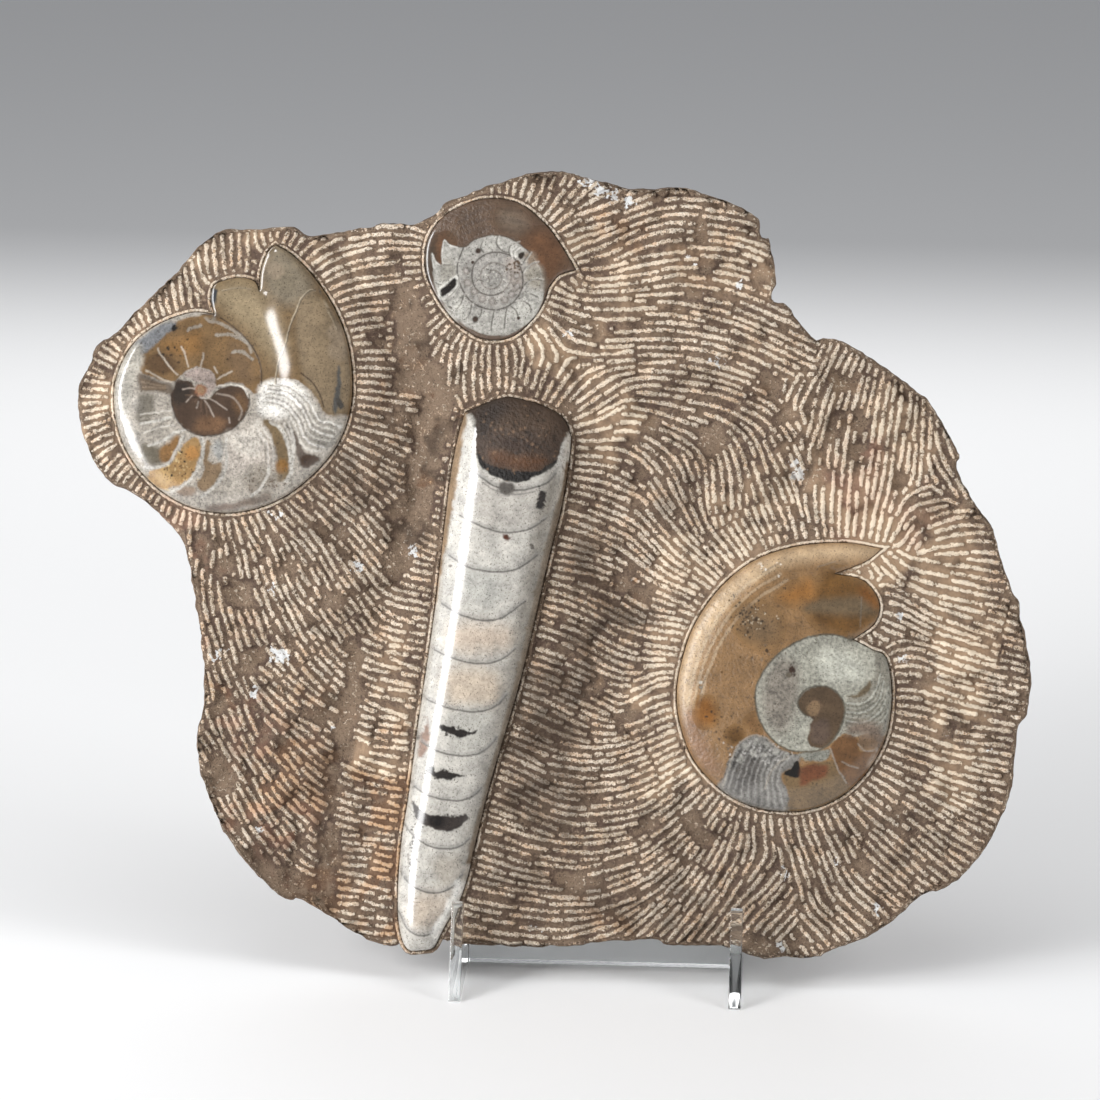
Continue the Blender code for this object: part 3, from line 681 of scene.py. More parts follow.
def plate_mesh(rims, depths):
    """The whole plate: points, faces, and how far each point is raised and broken."""
    outline, flat, strength, faces, edge_starts, place_of = face_layout(rims)
    near = np.full(len(flat), np.inf)
    for rim in rims:
        near = np.minimum(near, line_distance(flat, rim[::3], closed=True)[0])
    heights = face_height(flat, near)
    count = len(outline)
    edge_ids = [place_of[i] for i in range(count)]
    heights[edge_ids] = -EDGE_RINGS[0][1]
    points = [np.column_stack((flat, heights))]
    cut = [strength]
    broken = [np.zeros(len(flat))]
    faces = [tuple(f) for f in faces]
    total = len(flat)

    loops = [edge_ids]
    ring = outline
    last_inset = 0.0
    for level, (inset, depth) in enumerate(EDGE_RINGS[1:], 1):
        wander = 0.16 * min(depth, 9) * rough(outline, 13.0, 1.3 * level) + 0.5 * min(1, depth / 8)
        if inset > 1:
            ring = evened(inset_ring(ring, inset - last_inset), 2)
            last_inset = inset
            placed = evened(inset_ring(ring, wander), 1)
        else:
            placed = inset_ring(outline, inset + wander)
        placed[:, 0] = np.clip(placed[:, 0], *SIDE_LIMITS)
        points.append(np.column_stack((placed, np.full(count, -depth))))
        cut.append(np.zeros(count))
        broken.append(np.full(count, min(1, depth / 5)))
        loops.append(list(range(total, total + count)))
        total += count
    faces += grid_walls(loops)

    back_ring = points[-1][:, :2]
    inner = lattice(back_ring.min(0), back_ring.max(0), BACK_STEP, 0.25, 8)
    inner = inner[inside_ring(inner, back_ring)]
    inner = inner[line_distance(inner, back_ring, closed=True)[0] > 0.6 * BACK_STEP]
    seeds = np.vstack((back_ring, inner))
    rim_edges = [(i, (i + 1) % count) for i in range(count)]
    net, _, found, origins, _, _ = delaunay_2d_cdt([Vector(p) for p in seeds], rim_edges, [], 1, 1e-5)
    net = np.array([tuple(p) for p in net])
    number = []
    extra = []
    for k, group in enumerate(origins):
        ring_ids = [o for o in group if o < count]
        if ring_ids:
            number.append(loops[-1][ring_ids[0]])
        else:
            number.append(total + len(extra))
            extra.append(k)
    extra = net[extra]
    points.append(np.column_stack((extra, back_height(extra))))
    cut.append(np.zeros(len(extra)))
    broken.append(np.full(len(extra), 0.8))
    total += len(extra)
    faces += [tuple(number[i] for i in reversed(f)) for f in found]

    for start, size, depth in zip(edge_starts, [len(r) for r in rims], depths):
        top = [place_of[i] for i in range(start, start + size)]
        ring = flat[top]
        floor = list(range(total, total + size))
        points.append(np.column_stack((ring, np.full(size, -depth - GAP))))
        cut.append(np.zeros(size))
        broken.append(np.zeros(size))
        total += size
        faces += grid_walls([top[::-1], floor[::-1]])
        faces.append(tuple(floor))
    return np.vstack(points), faces, np.concatenate(cut), np.concatenate(broken)


def per_mm(size):
    """The scale of a texture whose features are that many millimetres wide."""
    return 1000.0 / size


# ---- the rock ---------------------------------------------------------------------------

def rock_surface_tree():
    """Raises the ridges on the face, breaks the edge into scallops and adds grain."""
    tree = bpy.data.node_groups.new("chiselled rock surface", "GeometryNodeTree")
    sides = tree.interface
    sides.new_socket("Rock", in_out="INPUT", socket_type="NodeSocketGeometry")
    for name in ("Ridge height", "Scallop size", "Scallop depth", "Grain size", "Grain depth"):
        sides.new_socket(name, in_out="INPUT", socket_type="NodeSocketFloat")
    sides.new_socket("Material", in_out="INPUT", socket_type="NodeSocketMaterial")
    sides.new_socket("Rock", in_out="OUTPUT", socket_type="NodeSocketGeometry")
    given = add_node(tree, "NodeGroupInput").outputs

    def math_node(operation, *values):
        names = {f"_{i}": value for i, value in enumerate(values)}
        return add_node(tree, "ShaderNodeMath", {"operation": operation}, **names).outputs[0]

    def attribute(name):
        return add_node(tree, "GeometryNodeInputNamedAttribute", {"data_type": "FLOAT"}, Name=name).outputs[0]

    scallop_scale = math_node("DIVIDE", 1.0, given["Scallop size"])
    grain_scale = math_node("DIVIDE", 1.0, given["Grain size"])
    chips = add_node(tree, "ShaderNodeTexVoronoi", {"feature": "F1"}, Scale=scallop_scale, Randomness=1.0)
    hollow = math_node("POWER", chips.outputs["Distance"], 2.0)
    hollow = math_node("MINIMUM", math_node("SUBTRACT", hollow, 0.75), 0.0)
    hollow = math_node("MULTIPLY", hollow, given["Scallop depth"])
    hollow = math_node("MULTIPLY", hollow, attribute("broken"))
    grain = add_node(tree, "ShaderNodeTexNoise", Scale=grain_scale, Detail=3.0, Roughness=0.6)
    grain = math_node("SUBTRACT", grain.outputs[0], 0.5)
    grain = math_node("MULTIPLY", grain, given["Grain depth"])
    ridge = math_node("MULTIPLY", attribute("ridge"), given["Ridge height"])
    lift = math_node("ADD", math_node("ADD", hollow, grain), ridge)
    normal = add_node(tree, "GeometryNodeInputNormal").outputs[0]
    shift = add_node(tree, "ShaderNodeVectorMath", {"operation": "SCALE"}, _0=normal, Scale=lift).outputs[0]
    moved = add_node(tree, "GeometryNodeSetPosition", Geometry=given["Rock"], Offset=shift)
    real = add_node(tree, "GeometryNodeRealizeInstances", Geometry=moved.outputs[0])
    finished = add_node(tree, "GeometryNodeSetMaterial", Geometry=real.outputs[0], Material=given["Material"])
    add_node(tree, "NodeGroupOutput", Rock=finished.outputs[0])
    return tree


def grow(obj, tree, **values):
    """Runs a tree on an object with its named inputs and keeps the result as a plain mesh."""
    modifier = obj.modifiers.new(tree.name, "NODES")
    modifier.node_group = tree
    for item in tree.interface.items_tree:
        key = item.name.replace(" ", "_")
        if item.in_out == "INPUT" and key in values:
            modifier[item.identifier] = values[key]
    graph = bpy.context.evaluated_depsgraph_get()
    mesh = bpy.data.meshes.new_from_object(obj.evaluated_get(graph), preserve_all_data_layers=True,
                                           depsgraph=graph)
    obj.modifiers.remove(modifier)
    old = obj.data
    obj.data = mesh
    mesh.name = obj.name
    bpy.data.meshes.remove(old)


def mix(material, factor, low, high):
    """One colour over another by a factor."""
    node = add_node(material, "ShaderNodeMix", {"data_type": "RGBA"}, _0=factor, _6=low, _7=high)
    return node.outputs[2]


def blend_range(material, value, low, high, start=0.0, stop=1.0):
    """A value taken smoothly from one range to another."""
    node = add_node(material, "ShaderNodeMapRange", {"interpolation_type": "SMOOTHSTEP"},
                    Value=value, From_Min=low, From_Max=high, To_Min=start, To_Max=stop)
    return node.outputs[0]


def color(hex_color):
    return (*linear(hex_color), 1.0)


def chiselled_limestone():
    """Fine dark limestone worked with a claw chisel. The tool bruised the tops of the ridges to a
    pale cream and left the grooves between them dull and brown-grey, so the rows read as two tones.
    Shade is painted in at the foot of each ridge and in spots over the face, light is painted in
    other spots, and the near-white specks on the tops are painted glints."""
    material, shader = new_material("chiselled dark limestone")
    place = add_node(material, "ShaderNodeTexCoord").outputs["Object"]

    def noise_of(size, detail=2.0, roughness=0.5):
        return add_node(material, "ShaderNodeTexNoise", Vector=place, Scale=per_mm(size), Detail=detail,
                        Roughness=roughness).outputs[0]

    def attribute(name):
        return add_node(material, "ShaderNodeAttribute", {"attribute_name": name}).outputs["Fac"]

    def calc(operation, a, b):
        return add_node(material, "ShaderNodeMath", {"operation": operation}, _0=a, _1=b).outputs[0]

    crumbs = noise_of(1.3, 4.0, 0.62)
    lumps = noise_of(16.0, 3.0)
    patches = noise_of(5.0, 3.0)
    tints = noise_of(8.0, 4.0, 0.65)
    specks = noise_of(0.6, 2.0)
    raised = attribute("ridge")
    stone = mix(material, blend_range(material, lumps, 0.38, 0.62), color("#55443a"), color("#6b594a"))
    stone = mix(material, blend_range(material, raised, 0.03, 0.13, 0, 0.8), stone, color("#7f6c5a"))
    stone = mix(material, blend_range(material, patches, 0.5, 0.66, 0, 0.5), stone, color("#867361"))
    stone = mix(material, blend_range(material, crumbs, 0.52, 0.66, 0, 0.45), stone, color("#988570"))
    stone = mix(material, blend_range(material, specks, 0.44, 0.34, 0, 0.7), stone, color("#2e241b"))
    # Painted shade: the groove darkens at the foot of each ridge, where shade falls.
    foot = blend_range(material, raised, 0.18, 0.34, 0, 0.5)
    stone = mix(material, foot, stone, color("#3f3125"))
    dust_and_glints = mix(material, blend_range(material, lumps, 0.4, 0.6), color("#b4a18b"), color("#d6c5b1"))
    dust_and_glints = mix(material, blend_range(material, patches, 0.5, 0.38, 0, 0.6), dust_and_glints, color("#a08d77"))
    dust_and_glints = mix(material, blend_range(material, crumbs, 0.5, 0.38, 0, 0.7), dust_and_glints, color("#94816d"))
    dust_and_glints = mix(material, blend_range(material, tints, 0.5, 0.62, 0, 0.5), dust_and_glints, color("#c49d79"))
    dust_and_glints = mix(material, blend_range(material, tints, 0.5, 0.4, 0, 0.5), dust_and_glints, color("#b7ab9b"))
    # Painted highlights: near-white specks on the bruised tops stand in for glints.
    dust_and_glints = mix(material, blend_range(material, specks, 0.53, 0.63, 0, 0.5), dust_and_glints, color("#f0e8dc"))
    dust_and_glints = mix(material, blend_range(material, specks, 0.43, 0.35, 0, 0.8), dust_and_glints, color("#64543f"))

    frayed = calc("ADD", calc("MULTIPLY", calc("SUBTRACT", crumbs, 0.5), 2.8),
                  calc("MULTIPLY", calc("SUBTRACT", patches, 0.5), 1.0))
    frayed = calc("MULTIPLY", frayed, blend_range(material, raised, 0.0, 0.12, 0.5, 1.0))
    edge = calc("ADD", raised, frayed)
    cut_mask = blend_range(material, edge, 0.36, 0.6)
    base = mix(material, cut_mask, stone, dust_and_glints)

    wash = calc("MULTIPLY", calc("SUBTRACT", patches, 0.5), 1.6)
    rust = calc("ADD", attribute("rust"), wash)
    rust_color = mix(material, cut_mask, color("#5f3f27"), color("#b98a5c"))
    base = mix(material, blend_range(material, rust, 0.3, 0.9, 0, 0.6), base, rust_color)
    rose = calc("ADD", attribute("rose"), wash)
    rose_color = mix(material, cut_mask, color("#7d5548"), color("#d6aa92"))
    base = mix(material, blend_range(material, rose, 0.25, 1.0, 0, 0.55), base, rose_color)
    chalk = calc("ADD", attribute("calcite"), calc("MULTIPLY", calc("SUBTRACT", crumbs, 0.5), 2.6))
    base = mix(material, blend_range(material, chalk, 0.5, 0.72), base, color("#dadad9"))
    # Painted light: the pale spots lift both tones towards light cream where the face is lit brightest, and where it is
    # dustier.
    pale = calc("MULTIPLY", blend_range(material, calc("ADD", attribute("pale"), wash), 0.0, 1.2), 0.85)
    base = mix(material, pale, base, mix(material, cut_mask, color("#a48a70"), color("#ebdac2")))
    # Painted shade: the shade spots darken the face towards deep brown; a few of them are dark marks of the rock
    # itself.
    shade = blend_range(material, calc("ADD", attribute("shade"), wash), 0.0, 1.1)
    base = mix(material, calc("MULTIPLY", shade, 0.72), base, color("#35281e"))
    material.node_tree.links.new(base, shader.inputs["Base Color"])
    shader.inputs["Roughness"].default_value = 0.82
    shader.inputs["Specular IOR Level"].default_value = 0.35
    height = calc("ADD", calc("MULTIPLY", crumbs, 1.3), calc("MULTIPLY", specks, 0.6))
    height = calc("ADD", height, calc("MULTIPLY", cut_mask, 0.3))
    bump = add_node(material, "ShaderNodeBump", Height=height, Strength=0.9, Distance=0.0006)
    material.node_tree.links.new(bump.outputs[0], shader.inputs["Normal"])
    return material


def blobs(points, spots):
    """How strongly each point is in one of the spots: (x, y, radius, strength)."""
    found = np.zeros(len(points))
    for x, y, radius, strength in spots:
        away = np.hypot(points[:, 0] - x, points[:, 1] - y)
        found = np.maximum(found, strength * fade(away / radius, 1.25, 0.2))
    return found


RUST_SPOTS = [
    (-102, 60, 30, 0.75), (-98, 100, 22, 0.5), (-84, 20, 18, 0.7),
    (-46, 214, 8, 0.9), (-58, 232, 8, 0.6), (-50, 180, 9, 0.8), (-70, 222, 8, 0.6), (30, 148, 6, 0.9), (64, 205, 8, 0.6),
    (-62, 60, 16, 0.9), (-64, 90, 12, 0.7), (-60, 30, 18, 0.9), (-66, 120, 9, 0.5), (-96, 20, 14, 0.6),
    (-118, 50, 12, 0.5), (-60, 8, 10, 0.8), (-30, 8, 12, 0.4), (-56, 240, 10, 0.5), (24, 8, 18, 0.5),
    (60, 270, 20, 0.55), (26, 290, 18, 0.55), (82, 262, 12, 0.5), (-92, 46, 18, 0.5), (-72, 44, 12, 0.6), (160, 130, 9, 0.5), (128, 150, 8, 0.6),
    (-128, 104, 10, 0.6), (-120, 88, 9, 0.4), (-70, 196, 7, 0.5), (-140, 152, 10, 0.4), (84, 224, 8, 0.4),
]
ROSE_SPOTS = [
    (-106, 44, 24, 0.6), (-112, 84, 20, 0.5),
    (122, 182, 24, 1.0), (138, 172, 16, 0.8), (150, 192, 12, 0.4), (-180, 214, 14, 0.7), (-168, 244, 14, 0.5),
    (-150, 176, 16, 0.7), (-140, 150, 12, 0.6), (-138, 120, 10, 0.5), (-130, 96, 12, 0.5), (-120, 128, 10, 0.4),
    (-120, 74, 16, 0.5), (-118, 48, 16, 0.5), (-104, 24, 12, 0.4), (-176, 190, 10, 0.6), (44, 172, 10, 0.3), (88, 206, 12, 0.3),
]
# Painted shade and dark rock, in mm: middle, radius and strength. Most spots darken the hollows and the slopes that lie
# in shade, such as the valley right of the straight shell; a few are dark marks of the rock itself, a dark crack and
# black spots, and at the lower left the rock is darker.
PAINTED_SHADE_AND_DARK_ROCK_SPOTS = [
    (-98, 36, 26, 0.45), (-92, 66, 20, 0.45), (-112, 78, 16, 0.3), (-84, 14, 14, 0.4),
    (-58, 244, 9, 0.9), (-52, 226, 9, 1.0), (-48, 208, 9, 1.0), (-52, 188, 9, 1.0), (-56, 170, 9, 0.9),
    (-62, 226, 14, 0.5), (-64, 205, 14, 0.6), (-78, 188, 18, 0.7), (-70, 168, 13, 0.5),
    (-62, 150, 10, 0.4), (-96, 172, 10, 0.3), (8, 168, 12, 0.4), (18, 150, 16, 0.7), (22, 128, 18, 0.9),
    (10, 108, 18, 0.9), (0, 84, 18, 1.0), (-10, 62, 15, 0.9), (4, 52, 18, 0.8), (-18, 30, 13, 0.6),
    (0, 22, 22, 0.6), (28, 18, 20, 0.6), (54, 20, 18, 0.5), (82, 22, 16, 0.35), (110, 30, 16, 0.3),
    (-88, 64, 16, 0.6), (-92, 44, 16, 0.6), (-100, 24, 12, 0.6), (-128, 78, 10, 0.4), (-120, 100, 8, 0.4),
    (-90, 186, 18, 0.5), (-92, 157, 18, 0.4), (-6, 100, 14, 0.6), (24, 100, 16, 0.5), (-4, 72, 16, 0.5),
    (-4, 45, 16, 0.4), (76, 20, 20, 0.35), (104, 22, 20, 0.35), (84, 46, 16, 0.3), (132, 46, 18, 0.3),
    (-92, 74, 18, 0.4), (-92, 46, 18, 0.4), (-120, 74, 14, 0.2), (48, 186, 12, 0.3),
    (50, 188, 12, 0.3), (176, 60, 10, 0.25), (150, 44, 14, 0.25), (100, 250, 9, 0.3), (88, 284, 8, 0.4),
    (-90, 188, 16, 0.4), (-62, 186, 14, 0.5), (22, 128, 16, 0.4), (20, 102, 18, 0.6), (-4, 76, 16, 0.5),
    (50, 186, 16, 0.5), (-88, 40, 14, 0.5), (-86, 108, 12, 0.3), (54, 44, 18, 0.3), (84, 40, 18, 0.3), (112, 44, 18, 0.3),
    (-90, 124, 14, 0.3), (-92, 156, 14, 0.4), (0, 20, 16, 0.5), (28, 22, 16, 0.5), (-90, 216, 8, 0.3),
    (114, 214, 2.6, 1.0), (110, 206, 2.6, 1.0), (105.6, 197, 2.6, 1.0), (102, 188, 2.4, 1.0), (-117, 32, 3.4, 1.0),
    (-103, 31, 5, 0.9),
]
# Painted light, in mm: middle, radius and strength. The spots lift the face where the lamps fall brightest, as along
# the left edge and over the right part, and some mark dustier patches.
PAINTED_LIGHT_AND_DUST_SPOTS = [
    (-178, 215, 16, 0.9), (-168, 244, 14, 0.7), (-146, 272, 14, 0.7), (-120, 284, 14, 0.8), (-90, 276, 12, 0.6),
    (-96, 256, 10, 0.5), (-78, 240, 8, 0.4), (20, 232, 16, 0.4), (6, 262, 12, 0.3), (40, 268, 14, 0.3),
    (54, 150, 16, 0.7), (50, 126, 16, 0.8), (48, 102, 14, 0.8), (50, 76, 16, 0.7), (72, 168, 14, 0.6),
    (130, 168, 22, 0.9), (158, 160, 22, 0.9), (162, 132, 20, 0.9), (162, 104, 20, 0.8), (160, 76, 18, 0.7),
    (24, 268, 22, 0.55), (52, 270, 22, 0.5), (80, 266, 20, 0.55), (22, 240, 20, 0.6), (80, 240, 18, 0.4),
    (22, 213, 16, 0.6), (106, 214, 20, 0.45), (134, 208, 20, 0.6), (80, 186, 16, 0.5), (106, 186, 18, 0.6),
    (134, 184, 20, 0.7), (80, 158, 18, 0.8), (144, 226, 10, 0.5),
    (-64, 122, 10, 0.6), (-62, 100, 9, 0.5), (-64, 74, 8, 0.6), (-66, 46, 8, 0.4), (-70, 24, 8, 0.3),
    (134, 158, 18, 1.2), (162, 150, 16, 1.2), (162, 122, 18, 1.2), (164, 96, 16, 1.0), (-176, 214, 12, 1.2),
    (50, 72, 14, 1.0), (52, 100, 12, 1.1), (24, 212, 18, 0.9), (0, 240, 12, 0.9), (108, 184, 16, 1.0), (-62, 74, 12, 0.9),
    (-150, 176, 12, 0.4), (104, 186, 12, 0.4), (136, 214, 10, 0.3), (-186, 196, 8, 0.8),
]
CALCITE_SPOTS = [
    (9, 310.5, 2.6, 1.0), (12, 307, 3.0, 1.0), (17, 303.5, 3.2, 1.0), (22, 301, 3.0, 1.0), (28, 299, 3.0, 0.9),
    (55.6, 276.4, 2.0, 1.0), (74.4, 267.6, 2.0, 1.0), (65.2, 235.6, 3.0, 0.9), (6.8, 244.8, 2.2, 0.9),
    (-56.4, 157.2, 3.4, 1.0), (-77.6, 150.8, 3.0, 0.9), (-108, 114.4, 4.2, 1.0), (-132.4, 114, 3.0, 1.0),
    (-86, 88, 2.8, 0.9), (-109.6, 170.8, 2.4, 0.8), (-111.2, 140, 2.4, 0.8), (-117.6, 99.6, 2.6, 0.9),
    (98.4, 190.8, 3.8, 1.0), (97, 195, 2.8, 1.0), (118, 37.6, 2.6, 0.8), (97.6, 32, 2.4, 0.8),
    (95.6, 1.6, 3.2, 1.0), (135.2, 19.2, 2.4, 0.9), (-114, 44, 2.6, 0.8), (18, 83, 1.8, 0.6),
    (142, 119, 2.6, 0.9), (140, 136, 2.2, 0.9), (156, 112, 2.2, 0.9), (157, 90, 1.8, 0.8), (176, 84, 2.0, 0.8),
    (-100, 250, 1.6, 0.6), (-54, 268, 1.6, 0.6), (-4, 8, 2.2, 0.6), (32, 150, 1.5, 0.6),
]


def build_plate():
    material = chiselled_limestone()
    points, faces, cut, broken = plate_mesh(RIMS, DEPTHS)
    flat = points[:, :2]
    front = points[:, 2] > -6
    wide = bent_places(bent_places(flat, 14.0, 9.0), 5.0, 3.0)
    close = bent_places(flat, 2.4, 2.2)
    # Real stains, painted shade and painted light for the rock's material, with the ridge and broken amounts.
    stains_and_painted_light_and_shade = {
        "rust": blobs(wide, RUST_SPOTS) * front + 0.3 * ~front,
        "rose": blobs(wide, ROSE_SPOTS) * front,
        "shade": blobs(wide, PAINTED_SHADE_AND_DARK_ROCK_SPOTS) * front,
        "pale": blobs(wide, PAINTED_LIGHT_AND_DUST_SPOTS) * front,
        "calcite": blobs(close, [(x, y, 1.05 * r, s) for x, y, r, s in CALCITE_SPOTS]) * front,
        "ridge": cut,
        "broken": broken,
    }
    plate = mesh_object("limestone_plate", points, faces, stains_and_painted_light_and_shade, material)
    grow(plate, rock_surface_tree(), Ridge_height=RIDGE_HEIGHT * MM, Scallop_size=8.0 * MM, Scallop_depth=1.5 * MM,
         Grain_size=2.2 * MM, Grain_depth=0.5 * MM, Material=material)
    hand_over(plate, "limestone_matrix", "matrix_slab")
    return plate


# ---- the polished shells ------------------------------------------------------------------

def crown_mesh(rim, width, crown, depth, spacing):
    """A polished shell: a domed face through a dense net, a plain wall and a flat back."""
    rings = [inset_ring(rim, d) for d in (0.25, 0.7, 1.3, 2.0)]
    inner = lattice(rim.min(0), rim.max(0), spacing, 0.0, 3)
    inner = inner[inside_ring(inner, rim)]
    away = line_distance(inner, rim, closed=True)[0]
    inner = inner[away > 2.5]
    seeds = [rim]
    for ring, d in zip(rings, (0.25, 0.7, 1.3, 2.0)):
        good = line_distance(ring, rim, closed=True)[0] > 0.93 * d
        seeds.append(ring[good & inside_ring(ring, rim)])
    seeds = np.vstack(seeds + [inner])
    count = len(rim)
    edges = [(i, (i + 1) % count) for i in range(count)]
    found, _, faces, origins, *_ = delaunay_2d_cdt([Vector(p) for p in seeds], edges, [], 1, 1e-5)
    flat = np.array([tuple(p) for p in found])
    place_of = {o: k for k, group in enumerate(origins) for o in group}
    away = line_distance(flat, rim, closed=True)[0]
    height = crown(away, flat, width)
    faces = [tuple(f) for f in faces]
    height = smoothed(height, faces, away, 40)
    top = [place_of[i] for i in range(count)]
    total = len(flat)
    floor = list(range(total, total + count))
    points = np.vstack((np.column_stack((flat, height)),
                        np.column_stack((flat[top], np.full(count, -depth)))))
    faces += grid_walls([top, floor])
    faces.append(tuple(floor[::-1]))
    return points, faces, total


def smoothed(height, faces, away, rounds):
    """The heights evened out with their neighbours, the shoulder by the rim left as it is."""
    pairs = np.array([(f[i], f[(i + 1) % 3]) for f in faces for i in range(3)])
    a = np.concatenate((pairs[:, 0], pairs[:, 1]))
    b = np.concatenate((pairs[:, 1], pairs[:, 0]))
    share = np.bincount(a, minlength=len(height))
    keep = fade(away, 1.5, 5.0)
    for _ in range(rounds):
        mean = np.bincount(a, weights=height[b], minlength=len(height)) / np.maximum(share, 1)
        height = height + keep * (mean - height)
    return height


INNER_WHORLS = [(-122, 280), (-118, 262), (-114, 248), (-110.5, 239), (-108, 230), (-107.5, 218), (-110, 206),
                (-118, 196), (-150, 170), (-190, 200), (-190, 260), (-150, 290)]


def coiled_crown(height, rim, inner=None):
    """A domed height for a coiled shell. Beside the notches in its rim the face stays nearly flat,
    and inner whorls lie a little lower than the whorl round them."""
    hull = rim[convex_hull_2d([Vector(p) for p in rim])]
    onward = np.roll(rim, -1, 0)
    dense = np.concatenate([rim + (onward - rim) * step / 4 for step in range(4)])
    notch = dense[line_distance(dense, hull, closed=True)[0] > 1.2]

    def crown(away, flat, width):
        t = 1 - np.minimum(away / width, 1)
        dome = height * np.sqrt(1 - t * t)
        nearest = np.full(len(flat), 1e9)
        for x, y in notch:
            nearest = np.minimum(nearest, np.hypot(flat[:, 0] - x, flat[:, 1] - y))
        face_up = np.minimum(dome, 0.4 * (1 - np.exp(-nearest / 0.5)) + 0.13 * nearest)
        if inner is None:
            return face_up
        ring = closed_ring(inner, 1.5)
        inward = line_distance(flat, ring, closed=True)[0] * np.where(inside_ring(flat, ring), 1, -1)
        low = fade(inward, -4.5, 4.5) * fade(inward, 36, 18) * fade(away, 1, 9) * fade(flat[:, 1], 198, 222)
        return face_up - 1.7 * low
    return crown


PLUG = [(-34.8, 213.4), (-36, 220), (-20, 224), (0, 222), (10, 212), (7, 206), (5, 203.4), (3.2, 198.1),
        (1.6, 194.1), (-3, 190.6), (-9, 187.2), (-14.3, 186.1), (-19.7, 187.4), (-25.1, 189.6), (-28.9, 194.2),
        (-30.2, 199.2), (-29.9, 207.2), (-31.2, 211.4)]


def straight_crown(away, flat, width):
    """Half round, with the lumpy plug of mud sunk a little below the polished part."""
    half_width = STRAIGHT_HALF_WIDTH + STRAIGHT_WIDENING * flat[:, 1]
    t = 1 - np.minimum(away / half_width, 1)
    ring = closed_ring(PLUG, 1.2)
    within = fade(line_distance(flat, ring, closed=True)[0], 0, 1.5) * inside_ring(flat, ring) * fade(away, 0.5, 3)
    lumps = 0.9 + 0.8 * rough(flat, 3.6, 1.0) + 0.5 * rough(flat, 1.4, 5.0)
    return STRAIGHT_ROUNDNESS * half_width * np.sqrt(1 - t * t) - within * np.maximum(lumps, 0)


class ShellFace:
    """The colours of one polished face, laid on in order like glazes."""

    def __init__(self, flat, ground, marble, wander):
        bend = np.stack((rough(flat, 3.5, 2.0), rough(flat, 3.5, 8.0)), 1)
        fine = np.stack((rough(flat, 1.1, 4.0), rough(flat, 1.1, 6.0)), 1)
        self.flat = flat
        self.bent = flat + wander * (0.9 * bend + 0.5 * fine)
        self.tone = np.tile(linear(ground), (len(flat), 1))
        self.marble = np.full(len(flat), float(marble))

    def lay(self, where, mask, hex_color, marble):
        self.tone[where] += mask[:, None] * (np.array(linear(hex_color)) - self.tone[where])
        if marble is not None:
            self.marble[where] += mask * (marble - self.marble[where])

    def near(self, points, line, reach):
        low, high = line.min(0) - reach, line.max(0) + reach
        return np.flatnonzero(np.all((points > low) & (points < high), 1))

    def zone(self, hex_color, soft, outline, marble=0.3, strength=1.0):
        ring = closed_ring(outline, 1.2)
        where = self.near(self.bent, ring, soft)
        points = self.bent[where]
        away = line_distance(points, ring, closed=True)[0]
        away[inside_ring(points, ring)] *= -1
        self.lay(where, strength * fade(away, soft, -soft), hex_color, marble)

    def line(self, hex_color, half_width, course, strength=1.0, wander=0.2):
        curve = smooth_line(course, 1.0)
        reach = half_width + 0.35
        where = self.near(self.flat, curve, reach + 1.5 * wander)
        away = line_distance(self.flat[where] + wander * (self.bent[where] - self.flat[where]), curve)[0]
        mask = strength * fade(away, reach, half_width - 0.2)
        self.lay(where, mask, hex_color, None)

    def fan(self, hex_colors, half_width, first, last, count, strength=0.7):
        """Thin bands side by side between two courses, as growth leaves them in calcite."""
        for k in range(count):
            t = k / (count - 1)
            course = [(x0 + t * (x1 - x0), y0 + t * (y1 - y0)) for (x0, y0), (x1, y1) in zip(first, last)]
            self.line(hex_colors[k % len(hex_colors)], half_width, course, strength, 0.7)

    def speckle(self, hex_color, x, y, spread, count, radius, strength=0.9):
        """Small dots thrown round one place, thickest in its middle."""
        draw = random.Random(f"{x} {y}")
        for _ in range(count):
            self.spot(hex_color, draw.gauss(x, spread[0]), draw.gauss(y, spread[1]), radius * draw.uniform(0.6, 1.4),
                      None, strength)

    def spot(self, hex_color, x, y, radius, marble=0.3, strength=1.0):
        away = np.hypot(self.bent[:, 0] - x, self.bent[:, 1] - y) / radius
        where = np.flatnonzero(away < 1.3)
        self.lay(where, strength * fade(away[where], 1.3, 0.6), hex_color, marble)


